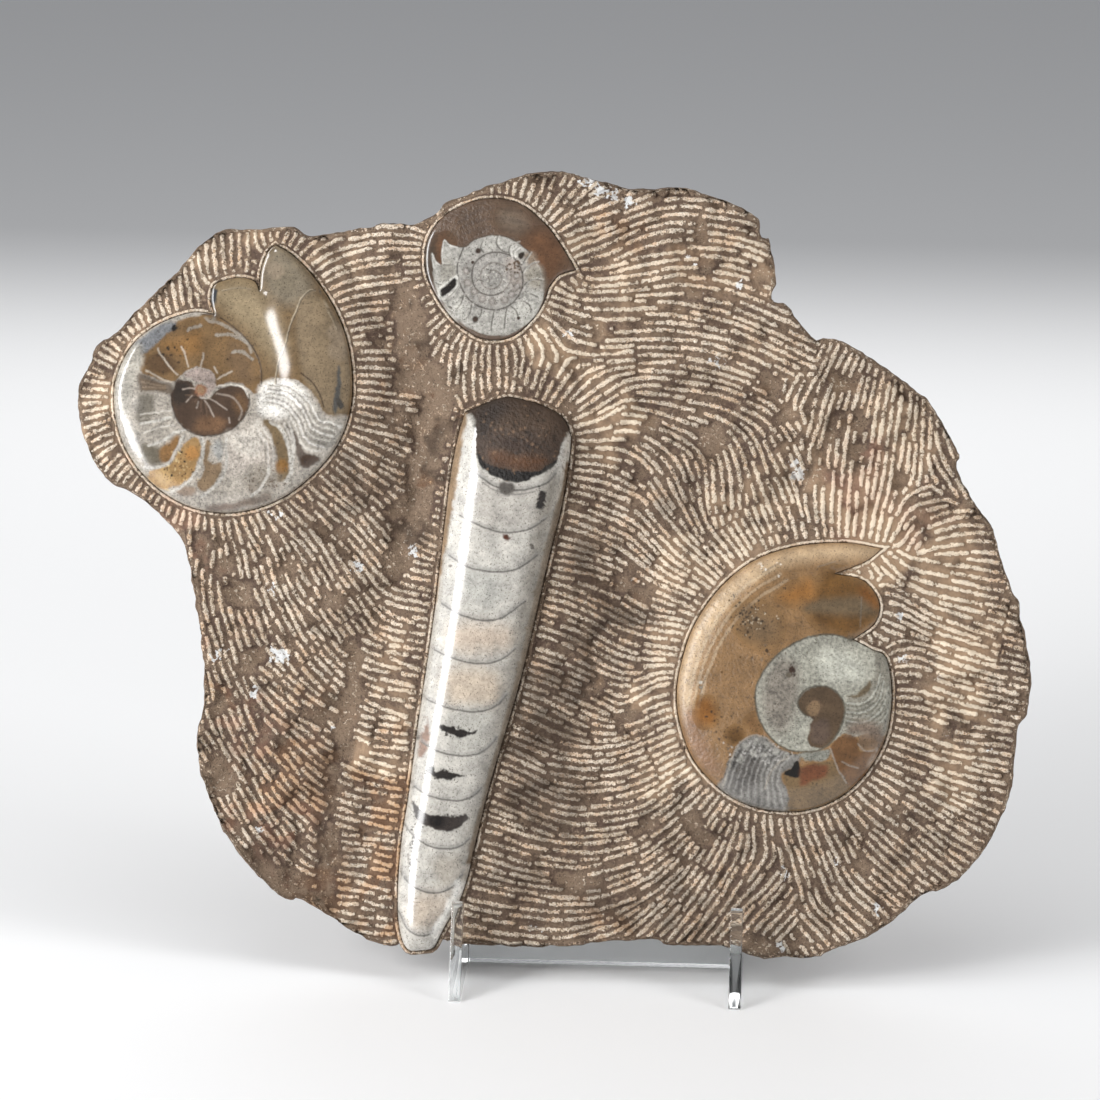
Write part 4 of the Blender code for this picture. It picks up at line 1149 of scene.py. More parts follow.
def paint_left(face):
    """Outer body chamber of olive mud, a calcite-filled whorl and a dark brown heart."""
    face.zone("#68543a", 0.3, [
        (-139, 262), (-137, 250.5), (-131.4, 247.3), (-125.2, 242.3), (-120, 236), (-117.4, 229),
        (-116.9, 223.7), (-109.8, 225.4), (-102.8, 224.6), (-98.2, 221.8), (-94.6, 217.9),
        (-92.5, 213.6), (-89.4, 210.8), (-85, 211.5), (-76, 213), (-74, 240), (-92, 272), (-113, 287),
        (-124, 272), (-130, 271), (-142, 268)], 0.25)
    # Painted haze: a broad, lighter olive patch on the horn stands in for the soft reflection round its highlight.
    face.zone("#8b7b61", 5.0, [
        (-137, 259), (-128, 264), (-120, 261), (-113, 252), (-108, 240), (-110, 231), (-117, 238),
        (-124, 246), (-131, 251)])
    # Painted haze: the horn's tip is lightened to stand in for a soft reflection.
    face.zone("#6d6353", 4.0, [
        (-118, 266), (-113, 279), (-104, 273), (-97, 262), (-102, 255), (-112, 256)])
    # Painted haze: the right part of the horn is lighter olive, the mud's colour lifted to stand in for a soft
    # reflection.
    face.zone("#75654f", 1.6, [
        (-103, 256), (-97, 259), (-90, 254), (-84, 240), (-81, 226), (-84, 212), (-90, 211),
        (-94, 217), (-99, 224), (-102, 234), (-104, 246)])
    face.zone("#6d6352", 2.0, [(-112, 270), (-106, 268), (-104, 262), (-110, 260), (-114, 264)])
    face.zone("#4b4945", 0.5, [(-86.5, 231), (-85, 228), (-85.6, 216), (-87.5, 211), (-88, 217), (-86.6, 224)])
    face.zone("#2b2f33", 0.4, [(-138, 260.5), (-135.9, 260), (-136.4, 254.8), (-138.3, 254.6)])

    face.zone("#6d5538", 0.35, [
        (-166.5, 234), (-160.6, 238), (-156.6, 242), (-152, 247.5), (-143, 250), (-137, 250.1),
        (-131.4, 247.1), (-125.4, 242.1), (-120.2, 236), (-117.6, 229), (-117.5, 223), (-119.5, 219),
        (-123, 221.5), (-128, 223.5), (-135, 222), (-136, 226), (-140, 229), (-146, 228.4),
        (-149.5, 225.5), (-153, 223), (-160, 224.5), (-166, 227.5)], 0.2)
    face.zone("#4d3a26", 1.6, [(-164.5, 231), (-158, 235), (-153, 232), (-151, 228), (-157, 226), (-163, 228)])
    face.zone("#7a5a34", 3.0, [(-158, 238), (-150, 241), (-143, 243), (-142, 236), (-147, 234), (-152, 234)])
    face.zone("#655039", 3.0, [(-131, 238), (-125, 238), (-121, 230), (-122, 223), (-130, 227)])
    face.zone("#6f7072", 0.7, [
        (-170, 237), (-165, 241), (-160, 245), (-153.5, 247.4), (-152, 245.2), (-156.6, 241.4),
        (-160.5, 237.8), (-166, 233.5)], 0.9)
    face.zone("#9c978d", 1.5, [(-176, 226), (-171, 236), (-166, 238), (-165, 231), (-168, 224), (-170, 214),
                               (-172, 206)], 0.9)
    face.zone("#5e5348", 0.9, [(-166, 226.5), (-160, 224), (-153.4, 221.6), (-153.2, 218), (-160, 219),
                               (-166, 219.5)])
    face.zone("#655f55", 1.6, [(-167, 215), (-165, 218), (-160.4, 217.5), (-160, 212), (-161, 206.5),
                               (-165, 205.5), (-167.5, 209)])
    face.zone("#5c5548", 1.4, [(-165, 197.5), (-158, 197), (-155.5, 193), (-158, 189.5), (-163, 190.5)])
    face.zone("#785936", 0.9, [(-149.2, 201.5), (-153.5, 199), (-156.8, 196.5), (-157, 192), (-154, 190.6),
                               (-151, 193), (-149.6, 197)])
    face.zone("#91734b", 0.5, [
        (-142.4, 200.8), (-147, 198.5), (-150.5, 193), (-155, 188.5), (-161, 187), (-162.5, 184.5),
        (-157, 180.5), (-151, 180.8), (-146, 184), (-142.2, 189), (-140.6, 195)], 0.25)
    face.spot("#a0703a", -144, 194.5, 3.0, 0.3, 0.7)
    face.spot("#a3865a", -155, 185, 3.6)
    face.zone("#73604a", 0.5, [
        (-138.4, 199.4), (-136.6, 198.4), (-137.6, 192.5), (-134.4, 190.4), (-131.6, 191), (-133, 186),
        (-137, 180.5), (-140.5, 179.5), (-141.6, 182), (-139.4, 187), (-139.6, 193)], 0.25)
    face.zone("#8b8a86", 1.2, [(-134.5, 200), (-131.6, 198), (-131.8, 192), (-134, 192.6), (-136, 195)], 1.0)
    face.zone("#68573f", 0.7, [(-115.2, 208.6), (-111.1, 207.1), (-107.8, 202.3), (-105.7, 196.8), (-105.1, 190.4),
                               (-105, 185.5), (-108.2, 183.9), (-110.3, 185.4), (-109.6, 191.9), (-111, 198.3),
                               (-113.1, 203.8), (-116.4, 207)])
    face.spot("#7c5a30", -108, 190, 3.0)
    face.zone("#5a5048", 0.6, [
        (-106.6, 207), (-103.2, 204.3), (-101.2, 199.8), (-98.6, 195.8), (-93.5, 194.4), (-94.1, 191.3),
        (-98.4, 189.6), (-101.2, 192.4), (-102.9, 197.8), (-105.2, 202.8)])
    face.zone("#574a3f", 0.6, [(-117.1, 186.6), (-115.8, 184), (-117.7, 179), (-120.8, 179.8), (-119.9, 183.2)])
    face.zone("#66584c", 1.2, [(-124, 176.5), (-118, 178), (-113, 180), (-112, 177.5), (-118, 174.5), (-126, 173.4)])
    face.zone("#6a5c52", 1.0, [(-138, 173.5), (-130, 174.8), (-124, 174.6), (-128, 172.4), (-136, 171.6)])
    face.zone("#7c6a5a", 1.0, [(-151, 180), (-146, 181.5), (-142, 179.5), (-146, 177)])
    face.zone("#a8a299", 1.2, [
        (-117.5, 222.5), (-110, 224.4), (-103, 223.6), (-98.8, 221), (-95.6, 217), (-93.4, 212.6),
        (-90, 209.6), (-85, 209), (-88, 200), (-93.5, 196), (-98.4, 197.6), (-101, 203), (-105.8, 208.4),
        (-112, 208.6), (-118, 212)], 1.0)
    face.zone("#aba298", 2.0, [(-130, 200), (-118, 206), (-113, 200), (-112, 190), (-120, 190), (-130, 186)], 1.0)

    face.zone("#453529", 0.35, [
        (-153, 218.2), (-152.1, 212), (-149.8, 207), (-145.7, 203.5), (-140.6, 201.9), (-134.5, 202.2),
        (-128.5, 204.6), (-124.1, 209), (-121.8, 214), (-122.4, 218.4), (-125, 221.1), (-129.5, 222),
        (-133.5, 220.9), (-135.9, 218.5), (-139, 216), (-141.7, 217.2), (-143.2, 219.7), (-144.6, 222.2),
        (-147.6, 223.8), (-151.2, 223.6)], 0.15)
    face.zone("#2b231c", 1.8, [(-152.6, 222), (-148, 223.4), (-145.2, 220.5), (-147, 215.5), (-151.6, 214)])
    face.zone("#5c452f", 1.8, [(-127, 219.5), (-122.8, 217.5), (-123.6, 211), (-128, 212.5)])
    face.zone("#614833", 2.0, [(-140, 209), (-131, 208), (-134, 203.4), (-143, 204)])
    face.zone("#968880", 0.5, [
        (-148.4, 225.6), (-147.1, 227.1), (-144.1, 228.5), (-140.6, 228.6), (-137.5, 227.4), (-135.8, 224.9),
        (-135.4, 222.4), (-136.6, 219.3), (-138.4, 218), (-138.6, 221.8), (-140.4, 223.4), (-143.6, 223.4),
        (-146, 224.8)], 0.6)
    face.spot("#8a5b40", -141.1, 219.9, 2.5)
    face.spot("#8f7257", -141.1, 219.9, 1.7)

    # Pale calcite, lightened further as a painted reflection where the horn's highlight runs on over it.
    face.zone("#dad6cf", 2.5, [(-117, 221), (-110, 224), (-103, 222.6), (-99, 218), (-103, 213), (-110, 210),
                               (-117, 212)], 1.0)
    face.zone("#8f8a81", 2.0, [(-97, 213), (-90, 209), (-85, 207.6), (-88, 200), (-93.5, 197), (-98.4, 201)], 1.0)
    face.zone("#b3aca2", 2.0, [(-118, 209), (-122, 204), (-130, 203), (-127, 196), (-119, 194), (-115, 200)], 1.0)
    face.fan(["#cbc7c0", "#8b857c", "#bdb8af", "#77716a"], 0.34,
             [(-113.9, 223.2), (-107.5, 222.9), (-102.6, 221), (-98.5, 217), (-95.6, 212.4), (-92.7, 208.6), (-88.6, 208),
              (-84.6, 206.4)],
             [(-115.8, 214.6), (-111.3, 214.4), (-107.3, 212.2), (-104, 208.6), (-102, 204.4), (-100.6, 200),
              (-97.6, 197), (-93, 196.4)], 11, 0.75)
    face.fan(["#bfbab2", "#857e74"], 0.3,
             [(-116, 205.4), (-112.4, 199.6), (-111.4, 193), (-111.6, 187), (-113.4, 182)],
             [(-119, 204), (-115.4, 198.4), (-114.4, 192.4), (-115, 186.4), (-117.4, 181)], 4, 0.5)
    face.fan(["#c4bfb7", "#7f786f"], 0.3, [(-105.6, 208), (-103.4, 200.4), (-103.4, 194), (-104.2, 187)],
             [(-108.2, 207), (-104.9, 200), (-104.4, 194), (-105, 187)], 4, 0.6)
    face.zone("#827a6f", 4.0, [(-119, 190), (-112, 189), (-109, 183), (-114, 179), (-121, 181)], 1.0)
    face.speckle("#5b4f44", -114, 184, (5, 3), 40, 0.4)
    face.speckle("#4a3420", -151, 189, (4, 3), 26, 0.35)
    face.speckle("#c6b184", -149, 188, (3.5, 4), 24, 0.4, 0.6)
    face.speckle("#3a2c1f", -154, 234, (3, 3), 14, 0.4)
    face.zone("#403024", 0.8, [(-100, 194.6), (-96.5, 195.2), (-93.6, 194), (-94.6, 191.4), (-98.4, 190), (-100.6, 192)])
    face.fan(["#c0bbb2", "#8f897f"], 0.28, [(-165.4, 209.6), (-158.2, 210.8), (-153.4, 211.6)],
             [(-163.4, 200.4), (-157, 203), (-151.6, 204.6)], 6, 0.5)
    for course in ([(-150.7, 225.9), (-154.8, 229.9), (-158.5, 234.6), (-159, 236.6)],
                   [(-153.8, 222.9), (-158.3, 224.6), (-162.4, 226.9), (-163.6, 227.3)],
                   [(-146.7, 229.2), (-148, 233.6), (-149.7, 237.2)],
                   [(-141.6, 229.3), (-141.1, 232.1), (-140.8, 234.6)],
                   [(-134.9, 224.6), (-131.7, 226.3), (-129.3, 227.7)],
                   [(-134.9, 227), (-136.1, 229.4)]):
        face.line("#a99e8f", 0.27, course, 0.85, 0.5)
    for course in ([(-147.4, 243.7), (-145.9, 244.9), (-142.7, 245.8)],
                   [(-136.1, 242.3), (-131.3, 242.6), (-126.4, 241.3), (-123.1, 238.9), (-121.5, 235.8)],
                   [(-129.1, 235.6), (-125.5, 235.7), (-122.6, 233.7), (-121, 232.6)],
                   [(-140, 248.6), (-134, 246.6), (-128, 243.4), (-123.6, 239.6)]):
        face.line("#918a7f", 0.6, course, 0.75, 0.8)
    face.line("#c9c2b7", 0.26, [(-134.1, 221.9), (-129.2, 222.4), (-124.4, 221.3), (-121.9, 217.3)], 0.9)
    face.line("#8d8074", 0.3, [(-134.8, 218.6), (-129.9, 217.9), (-126.7, 215.6), (-124.5, 211.6), (-125.7, 208.4)], 0.8)
    for course in ([(-138.4, 216.9), (-134.7, 215), (-130.6, 212.3)], [(-139.6, 215.7), (-137.5, 212.9), (-135.8, 209.4)],
                   [(-142, 215.3), (-142.7, 212.8)], [(-148.5, 220.1), (-145.3, 220.7), (-143.7, 220.3)],
                   [(-144.6, 217.6), (-147, 215)], [(-129.7, 209.1), (-129.3, 207.1)]):
        face.line("#a3968a", 0.2, course, 0.75)
    face.fan(["#241c16", "#5d4b3c"], 0.2, [(-148.8, 219.4), (-144.4, 218.2)], [(-138, 209), (-139.4, 214.4)], 8, 0.5)
    face.fan(["#544432", "#7b6a58"], 0.35, [(-165, 223.6), (-155.6, 221.6)], [(-164.6, 219.8), (-155.4, 219.8)], 5, 0.6)
    for course in ([(-148, 201.2), (-150.4, 196), (-153, 191), (-158, 188.6), (-164, 188.6)],
                   [(-140.4, 201), (-139.6, 196), (-140.8, 190), (-144, 184.8), (-149, 180.6), (-153, 178.6)],
                   [(-130.6, 201), (-130.4, 195), (-130, 190), (-132, 185), (-136, 180.4), (-140, 177.4)],
                   [(-104.6, 205), (-103.4, 200), (-103.4, 195), (-104, 189), (-106, 184)],
                   [(-113, 207.5), (-108.6, 205), (-105.6, 199), (-104.6, 192)],
                   [(-120, 178), (-116.5, 181), (-113.5, 186), (-113, 190)],
                   [(-165.2, 205.9), (-157.9, 207.3), (-153.1, 208.6)],
                   [(-161.8, 197.2), (-155.3, 199.7), (-150.6, 203), (-147.4, 203.9)]):
        face.line("#aeaaa2", 0.5, course, 0.8, 0.5)
    for course in ([(-141.6, 250.3), (-137, 250.2), (-131.4, 247.3), (-125.2, 242.3), (-120, 236), (-117.4, 229),
                    (-117, 223.4)],
                   [(-153, 218), (-152.1, 212), (-149.8, 207), (-145.7, 203.4), (-140.6, 201.8), (-134.5, 202.1),
                    (-128.5, 204.5), (-124.1, 208.9), (-121.7, 214), (-122, 218.5)],
                   [(-101, 227.5), (-97, 224.5), (-93.5, 219.5), (-91.5, 214)]):
        face.line("#35291f", 0.22, course, 0.85)
    # Painted haze: soft lighter patches on the horn.
    for x, y, radius in ((-87, 244.5, 4.0), (-86.1, 237.3, 4.5), (-112.6, 268.2, 3.5)):
        face.spot("#8c7c69", x, y, radius, 0.3, 0.55)
    face.zone("#3f3b36", 0.4, [(-86.4, 218), (-84.4, 217.3), (-83.8, 214.1), (-85.1, 213.2), (-86.4, 215.6)])
    crack = [(-93, 260), (-97.1, 261.1), (-99.4, 259.9), (-101.8, 257), (-103.3, 253), (-105.2, 248.1),
             (-106.7, 242.5), (-108.2, 236.8), (-110.5, 230.4), (-111.1, 223.1)]
    face.line("#b3a68f", 0.16, [(x - 0.35, y + 0.1) for x, y in crack], 0.8, 0.4)
    face.line("#463c30", 0.14, crack, 0.9, 0.4)
    for course in ([(-134, 260), (-127.7, 261.4), (-121.7, 260.8)],
                   [(-92.1, 256.4), (-90.8, 252.4), (-89.1, 249.2), (-87.4, 245.3)]):
        face.line("#a89c86", 0.15, course, 0.6, 0.4)
        face.line("#3a3126", 0.12, [(x + 0.5, y - 0.1) for x, y in course], 0.5)
    face.spot("#16130f", -152.6, 244.6, 1.5)
    for x, y, radius in ((-155, 236.5, 0.8), (-152.5, 237, 0.6), (-157, 234, 0.7), (-147, 240, 0.5), (-131, 233, 0.5),
                         (-144, 187, 0.5), (-152, 186, 0.5), (-148, 195, 0.6), (-147, 191, 0.5)):
        face.spot("#33291c", x, y, radius)


def paint_top(face):
    """A pale grey calcite spiral in a brown body chamber."""
    face.zone("#5c402b", 4.0, [(-12, 284), (-4, 286), (3, 278), (-1, 268), (-7, 270), (-12, 277)])
    # Painted sheen: a lighter grey patch on the brown body chamber stands in for the polish's haze.
    face.zone("#75695c", 4.0, [(-23, 294), (-16, 294), (-12, 289), (-17, 286), (-23, 289)], 0.3, 0.6)
    face.zone("#5f432f", 3.0, [(-50, 280), (-44, 284), (-42, 279), (-47, 271)])
    face.zone("#3f3226", 2.0, [(-53, 270), (-51, 280), (-48.5, 284), (-48, 274), (-50, 262), (-46, 255), (-40, 248),
                               (-38, 246.4), (-46, 252)])
    face.fan(["#5f4e3c", "#40342a"], 0.5, [(-46, 279), (-40, 290), (-28, 297), (-14, 296)],
             [(-44, 279), (-37, 285), (-27, 287), (-14, 286)], 6, 0.25)
    face.zone("#9c9992", 0.3, [
        (-45, 282.4), (-43.2, 280.4), (-39.5, 279.4), (-36.2, 279.5), (-33.2, 282.1), (-28.8, 283.8),
        (-24.2, 284.2), (-19.2, 283.3), (-14.1, 280.4), (-10, 277), (-6.9, 272.5), (-5.3, 266.9), (-4.9, 260.9),
        (-6.2, 255.6), (-9, 251.4), (-13, 247.8), (-18, 245), (-23.3, 244.2), (-28.3, 244.6), (-34.4, 247),
        (-39.3, 250.9), (-43.2, 255.2), (-47.2, 260.6), (-48.9, 266.1), (-49.4, 271.2), (-49.9, 276.9),
        (-48.6, 273.7), (-46.8, 272), (-45.4, 272.3), (-45.9, 275.8), (-45.6, 279.3)], 0.9)
    face.zone("#aeaba3", 1.5, [(-16, 258), (-10, 259), (-7, 253), (-12, 249), (-17, 252)], 0.9)
    face.zone("#afaca4", 1.5, [(-44, 256), (-38, 258), (-36, 252), (-40, 250)], 0.9)
    face.zone("#8d8980", 1.5, [(-46, 272), (-42, 274), (-40, 268), (-46, 266)], 0.9)
    face.zone("#857f74", 2.0, [(-11, 272), (-6, 272), (-5, 264), (-10, 264), (-13, 268)], 0.9)
    face.zone("#7a6b5c", 1.5, [(-13, 277), (-9, 277.6), (-7.6, 273.4), (-11, 272.6)], 0.6)
    face.zone("#918d87", 1.6, [(-34, 277), (-20, 278), (-12.6, 268), (-16, 258), (-26, 254), (-36, 259), (-39, 268)],
              0.9, 0.8)
    face.zone("#938a82", 2.0, [(-20, 275), (-14, 273), (-13, 266), (-16, 262), (-19, 268)], 0.9)
    spiral = [(-37.3, 279), (-39.4, 273.2), (-39.3, 268.1), (-36.9, 261.6), (-33.2, 257.3), (-28, 255), (-22.9, 254.7),
              (-17.8, 256.9), (-14.3, 261.3), (-13.2, 266.4), (-14.2, 271.5), (-17.5, 275.8), (-22.7, 277.5),
              (-27.8, 276.9), (-32.1, 273.7), (-33.6, 269.6), (-33, 264.6), (-30, 261.3), (-25.2, 260.3),
              (-20.9, 261.9), (-18.1, 266.3), (-18.3, 269.9), (-21.1, 272.4), (-25.5, 273.4), (-29.1, 271.2),
              (-30.1, 267.5), (-28.9, 263.9), (-25.3, 262.9), (-22.4, 264.8), (-21.7, 267.7), (-23.2, 269.8),
              (-25.8, 270.2), (-27.2, 268.3), (-26.4, 266.1)]
    face.line("#4f4a45", 0.22, spiral[:20], 0.95, 0.3)
    face.line("#6b645d", 0.2, spiral[19:], 0.8, 0.5)
    face.line("#3f352c", 0.3, [(-40, 279.6), (-36.2, 279.8), (-33.2, 282.3), (-28.8, 284), (-24.2, 284.4),
                               (-19.2, 283.5), (-14.1, 280.6), (-10, 277.2)], 0.5)
    for course in ([(-23.6, 283.7), (-24.2, 281.5), (-23.1, 279.3), (-20.9, 277.9), (-19, 277.6)],
                   [(-29.7, 281.4), (-30.4, 279.2), (-29.2, 277.4)],
                   [(-15.5, 281.6), (-18.4, 280.5), (-19, 277.9), (-18.3, 276.1), (-16.1, 275.4)],
                   [(-10.7, 277.4), (-12.1, 275.2), (-13.8, 272.9), (-15.3, 273.6)],
                   [(-7.7, 273.8), (-10.2, 273), (-12.7, 270.8), (-13.4, 269.3)],
                   [(-5.7, 266.6), (-8.6, 267.2), (-11.5, 265.7), (-13.3, 263.5)],
                   [(-7, 260), (-10.7, 261.4), (-13.5, 259.8), (-14.6, 259.1)],
                   [(-9, 253.4), (-10.6, 257), (-13.5, 258.4), (-16.4, 257.6)],
                   [(-14.8, 251.8), (-15.6, 254.3), (-17.8, 256.1)],
                   [(-20.2, 247.3), (-19.9, 251.7), (-19.3, 255.4)],
                   [(-25.6, 246.5), (-25, 250.9), (-24.4, 254.2)],
                   [(-34.4, 248.5), (-31.6, 250), (-29.8, 252.2), (-29.5, 254.4)],
                   [(-39.6, 250.2), (-35.9, 250.7), (-34.2, 252.9), (-33.5, 256.5)],
                   [(-43, 254.2), (-40.4, 253.5), (-37.9, 256.5), (-36.9, 260.1)],
                   [(-46.3, 257.7), (-43.4, 258.5), (-40.6, 261.5), (-39.2, 264.4), (-39.1, 267.4)],
                   [(-48.7, 265), (-45.7, 264.3), (-42.5, 265.8), (-40, 268.4)],
                   [(-45.2, 272.3), (-42.3, 272.2), (-39.7, 273.5)]):
        face.line("#55504a", 0.19, course, 0.9, 0.5)
        face.line("#bdbab2", 0.26, [(x + 0.7, y + 0.4) for x, y in course], 0.4, 0.5)
    for x, y in ((-35.2, 265.2), (-32.5, 261.7), (-29.2, 258.8), (-25.2, 257.8), (-20.4, 258.6), (-17.6, 260.9),
                 (-15.5, 264.2), (-15.8, 268.2), (-36, 270)):
        face.spot("#6d665f", x, y, 1.7, 0.9, 0.75)
        face.spot("#96908a", x, y, 0.95, 0.9)
    face.zone("#c1beb6", 0.4, [(-39.7, 268), (-39.2, 264.2), (-42.4, 259.9), (-46.4, 258.2), (-47.2, 262.2),
                               (-44.8, 264.8)], 0.9)
    face.zone("#1a1613", 0.4, [(-40.4, 267), (-40, 264.5), (-42.7, 260.8), (-45.7, 259.3), (-46.3, 261.8),
                               (-44.3, 263.9)])
    for course in ([(-45.4, 272.6), (-45.9, 275.8), (-45.6, 279.3), (-45, 282), (-43.2, 280.2), (-39.7, 279.2)],
                   [(-49.2, 271.2), (-49.7, 276.4), (-48.6, 273.7), (-46.8, 272.2)],
                   [(-14.6, 279.6), (-16.6, 277.8), (-16.4, 275.6)], [(-15.9, 280), (-18, 278), (-17.6, 275.4)]):
        face.line("#cbc8c0", 0.2, course, 0.8)
    face.zone("#272019", 0.35, [(-15.2, 277.4), (-12.9, 278), (-12.6, 276.6), (-14.6, 274.6), (-15.4, 275.8)])
    for x, y, radius in ((-31.4, 278.1, 1.2), (-31.9, 250.7, 1.3), (-46.6, 258, 0.9), (-14.6, 251.4, 0.7),
                         (-41.9, 254.9, 0.6), (-33.5, 273.4, 0.7)):
        face.spot("#3b2f27", x, y, radius)
    face.speckle("#4c3a2a", -16.5, 272.4, (1.4, 1.4), 16, 0.4)
    face.speckle("#c9c5bb", -25.4, 268, (3, 3), 30, 0.3, 0.5)
    face.speckle("#6c6259", -24, 262, (8, 4), 60, 0.3, 0.4)


def paint_right(face):
    """A wide tan body chamber round a grey-green calcite whorl and a brown heart."""
    # A light tan band along the upper left rim: partly the chamber's own colour, widened and lightened as painted haze
    # beside the highlight.
    face.zone("#b59b7a", 3.5, [
        (52.8, 104), (53.8, 116), (57.5, 127.6), (65.3, 140.6), (73.1, 148.8), (81, 154.6), (96.8, 161.3),
        (112.8, 163.2), (128.8, 162.8), (130.5, 159.6), (120.9, 158.2), (108.9, 157.6), (93, 154.4),
        (79.5, 146), (70.9, 136.5), (63.8, 124), (59.3, 111.6), (57.8, 100), (56, 92)], 0.05)
    face.fan(["#c3b094", "#96754f"], 0.5, [(56.5, 98), (60, 116), (68, 134), (78, 146), (90, 154)],
             [(61, 97), (65, 114), (73, 130), (83, 141), (95, 149)], 5, 0.35)
    face.zone("#7d5c40", 4.0, [(55, 95), (59, 96), (62, 88), (66, 80), (70, 72), (66, 72), (60, 78), (56, 87)], 0.05)
    face.zone("#60431f", 3.5, [
        (112.2, 154.4), (121.1, 150.6), (126, 147.4), (130.9, 142.8), (132.6, 139.6), (129.5, 133.9),
        (121.6, 127.7), (113.6, 128.8), (105.4, 133.4), (104.5, 141.4), (107.5, 148.7)])
    face.zone("#61513c", 2.6, [
        (103, 141), (113.2, 142.4), (125.2, 143.5), (131.3, 141.2), (131.4, 136.6), (121.4, 135.4),
        (109.4, 136), (102, 137)])
    face.zone("#74491d", 2.5, [(126, 147), (130.4, 143), (131.6, 139), (128.6, 140), (124, 145)])
    face.zone("#6b563e", 5.0, [(76, 137), (84, 138), (92, 132), (90, 125), (82, 124), (77, 130)])
    face.zone("#865c2e", 3.5, [(96, 146), (104, 149), (106, 143), (98, 140), (92, 142)])
    face.zone("#7c5124", 3.0, [(60.5, 99.5), (65, 101), (68, 95), (66, 91), (61, 92)])
    face.zone("#573d1e", 2.0, [(72.5, 88.5), (77, 90), (79.4, 86), (76, 83.6), (73, 85)])
    face.zone("#6e5031", 2.5, [(80, 92), (85, 88), (83, 95)])
    whorl = [
        (121.6, 125.7), (113.6, 127.8), (105.6, 127), (97.6, 123.6), (91.3, 118.7), (86.7, 113), (83.6, 105.7),
        (83.8, 98.5), (86.3, 91.3), (90.4, 85.8), (96.1, 81.9), (101.7, 81.1), (108.1, 81.5), (112.9, 84)]
    face.zone("#969488", 0.35, [
        *whorl, (116.4, 86.8), (119.2, 88.6), (123.6, 87.6), (128, 88.8), (134.6, 88.6), (140, 88), (142, 118),
        (132, 124)], 1.0)
    face.zone("#7b776c", 0.8, [(120, 102.6), (124, 103.2), (128.4, 106), (130.2, 112), (131, 119), (129, 122), (136, 122),
                               (139, 104), (138, 90), (128, 90), (119.8, 92), (119.4, 98)], 1.0)
    face.zone("#7c756b", 3.5, [(88, 112), (93, 118), (99, 116), (101, 106), (99, 96), (94, 88), (87.5, 94), (86, 103)],
              1.0)
    face.zone("#adaca0", 3.5, [(108, 119), (115, 122), (124, 117), (126, 111), (119, 109), (110, 111)], 0.8)
    face.zone("#5e5240", 0.6, [(119.7, 103.2), (122.9, 104.2), (126.8, 107.5), (128.8, 110.2), (129.5, 107.5),
                               (127.7, 104.8), (123.7, 103)])
    face.zone("#50402f", 0.3, [
        (100.5, 101.2), (102.8, 105.3), (107.6, 107), (112.4, 106.7), (116.5, 104), (119, 99.2), (118.3, 93.6),
        (116, 87.9), (112.9, 83.9), (108.9, 82.4), (104.9, 84.5), (105.2, 90.1), (106.6, 94.2), (103.1, 95.6),
        (101, 98)], 0.15)
    face.zone("#54453a", 1.5, [(106, 92), (112, 94), (113, 86), (108, 84), (105.6, 87)])
    face.zone("#6f5a43", 0.6, [(104.4, 99.8), (106, 101.6), (108.6, 101.4), (109.6, 98.8), (108.4, 95.8),
                               (105.6, 95.4), (104, 97)])
    face.zone("#66482c", 0.4, [
        (116, 86.3), (119.3, 87.9), (123.3, 87.3), (124.9, 84.2), (125.4, 81.8), (137, 82), (136, 76),
        (130, 72), (125.3, 67), (120.3, 68.7), (117.2, 73.7), (115.5, 77.7), (113.8, 82.4)], 0.2)
    face.zone("#68533f", 0.8, [(125.6, 88), (137, 88.4), (137, 83), (126.4, 83)])
    face.zone("#716e69", 0.6, [
        (77.7, 83.9), (82.4, 87), (88, 86.1), (92.1, 82.6), (97, 80.3), (101.8, 79.6), (100.3, 75.5),
        (94.7, 72.2), (95, 69), (97.3, 65.1), (98.3, 55), (83, 55), (70, 62), (69, 66.1), (71.6, 70.9),
        (73.1, 76.6), (75.4, 80.7)], 1.0)
    face.zone("#57534f", 2.4, [(77, 80), (82, 82), (86, 76), (85, 68), (78, 64), (73.5, 68), (75, 75)], 1.0)
    face.zone("#6a563c", 0.6, [
        (95.6, 71.4), (101.9, 74.8), (114.7, 77.5), (117.2, 72.9), (120.6, 69.2), (122, 62), (111.9, 55),
        (98.4, 54), (97.4, 64)], 0.4)
    face.zone("#76756c", 0.6, [(101, 80), (108, 81.4), (113.4, 82), (112, 78), (104, 77.4)], 0.9)
    face.zone("#15120f", 0.35, [(100.2, 76.9), (101.9, 76), (101.5, 70.6), (98.7, 70.7), (95.1, 71.6), (95.9, 73),
                                (97.9, 73.9)])
    face.zone("#643d27", 1.0, [(102.1, 74.6), (105.9, 76), (112.3, 75.6), (113, 74), (111.4, 71), (106.8, 69.4),
                               (102.4, 67), (101.9, 70)])
    face.line("#4f4a3f", 0.3, whorl + [(116, 88), (118.4, 93.6), (119.1, 99.2), (116.6, 104), (112.4, 106.8),
                                       (107.6, 107.1), (102.8, 105.4), (100.4, 101.2), (101, 98), (103.4, 95.6)], 0.85)
    face.line("#4b3b2e", 0.18, [(104.2, 99.6), (106, 101.6), (108.6, 101.4), (109.6, 98.8), (108.4, 95.6),
                                (105.8, 94.8)], 0.8)
    face.fan(["#a9a99f", "#625f55", "#98968b", "#706d62"], 0.3,
             [(120, 100.6), (124.6, 100.4), (128.6, 102.4), (131.6, 106.6), (133, 112.6)],
             [(120, 90.4), (125.4, 89.6), (131, 91.2), (135.6, 96.4), (137.6, 104)], 13, 0.6)
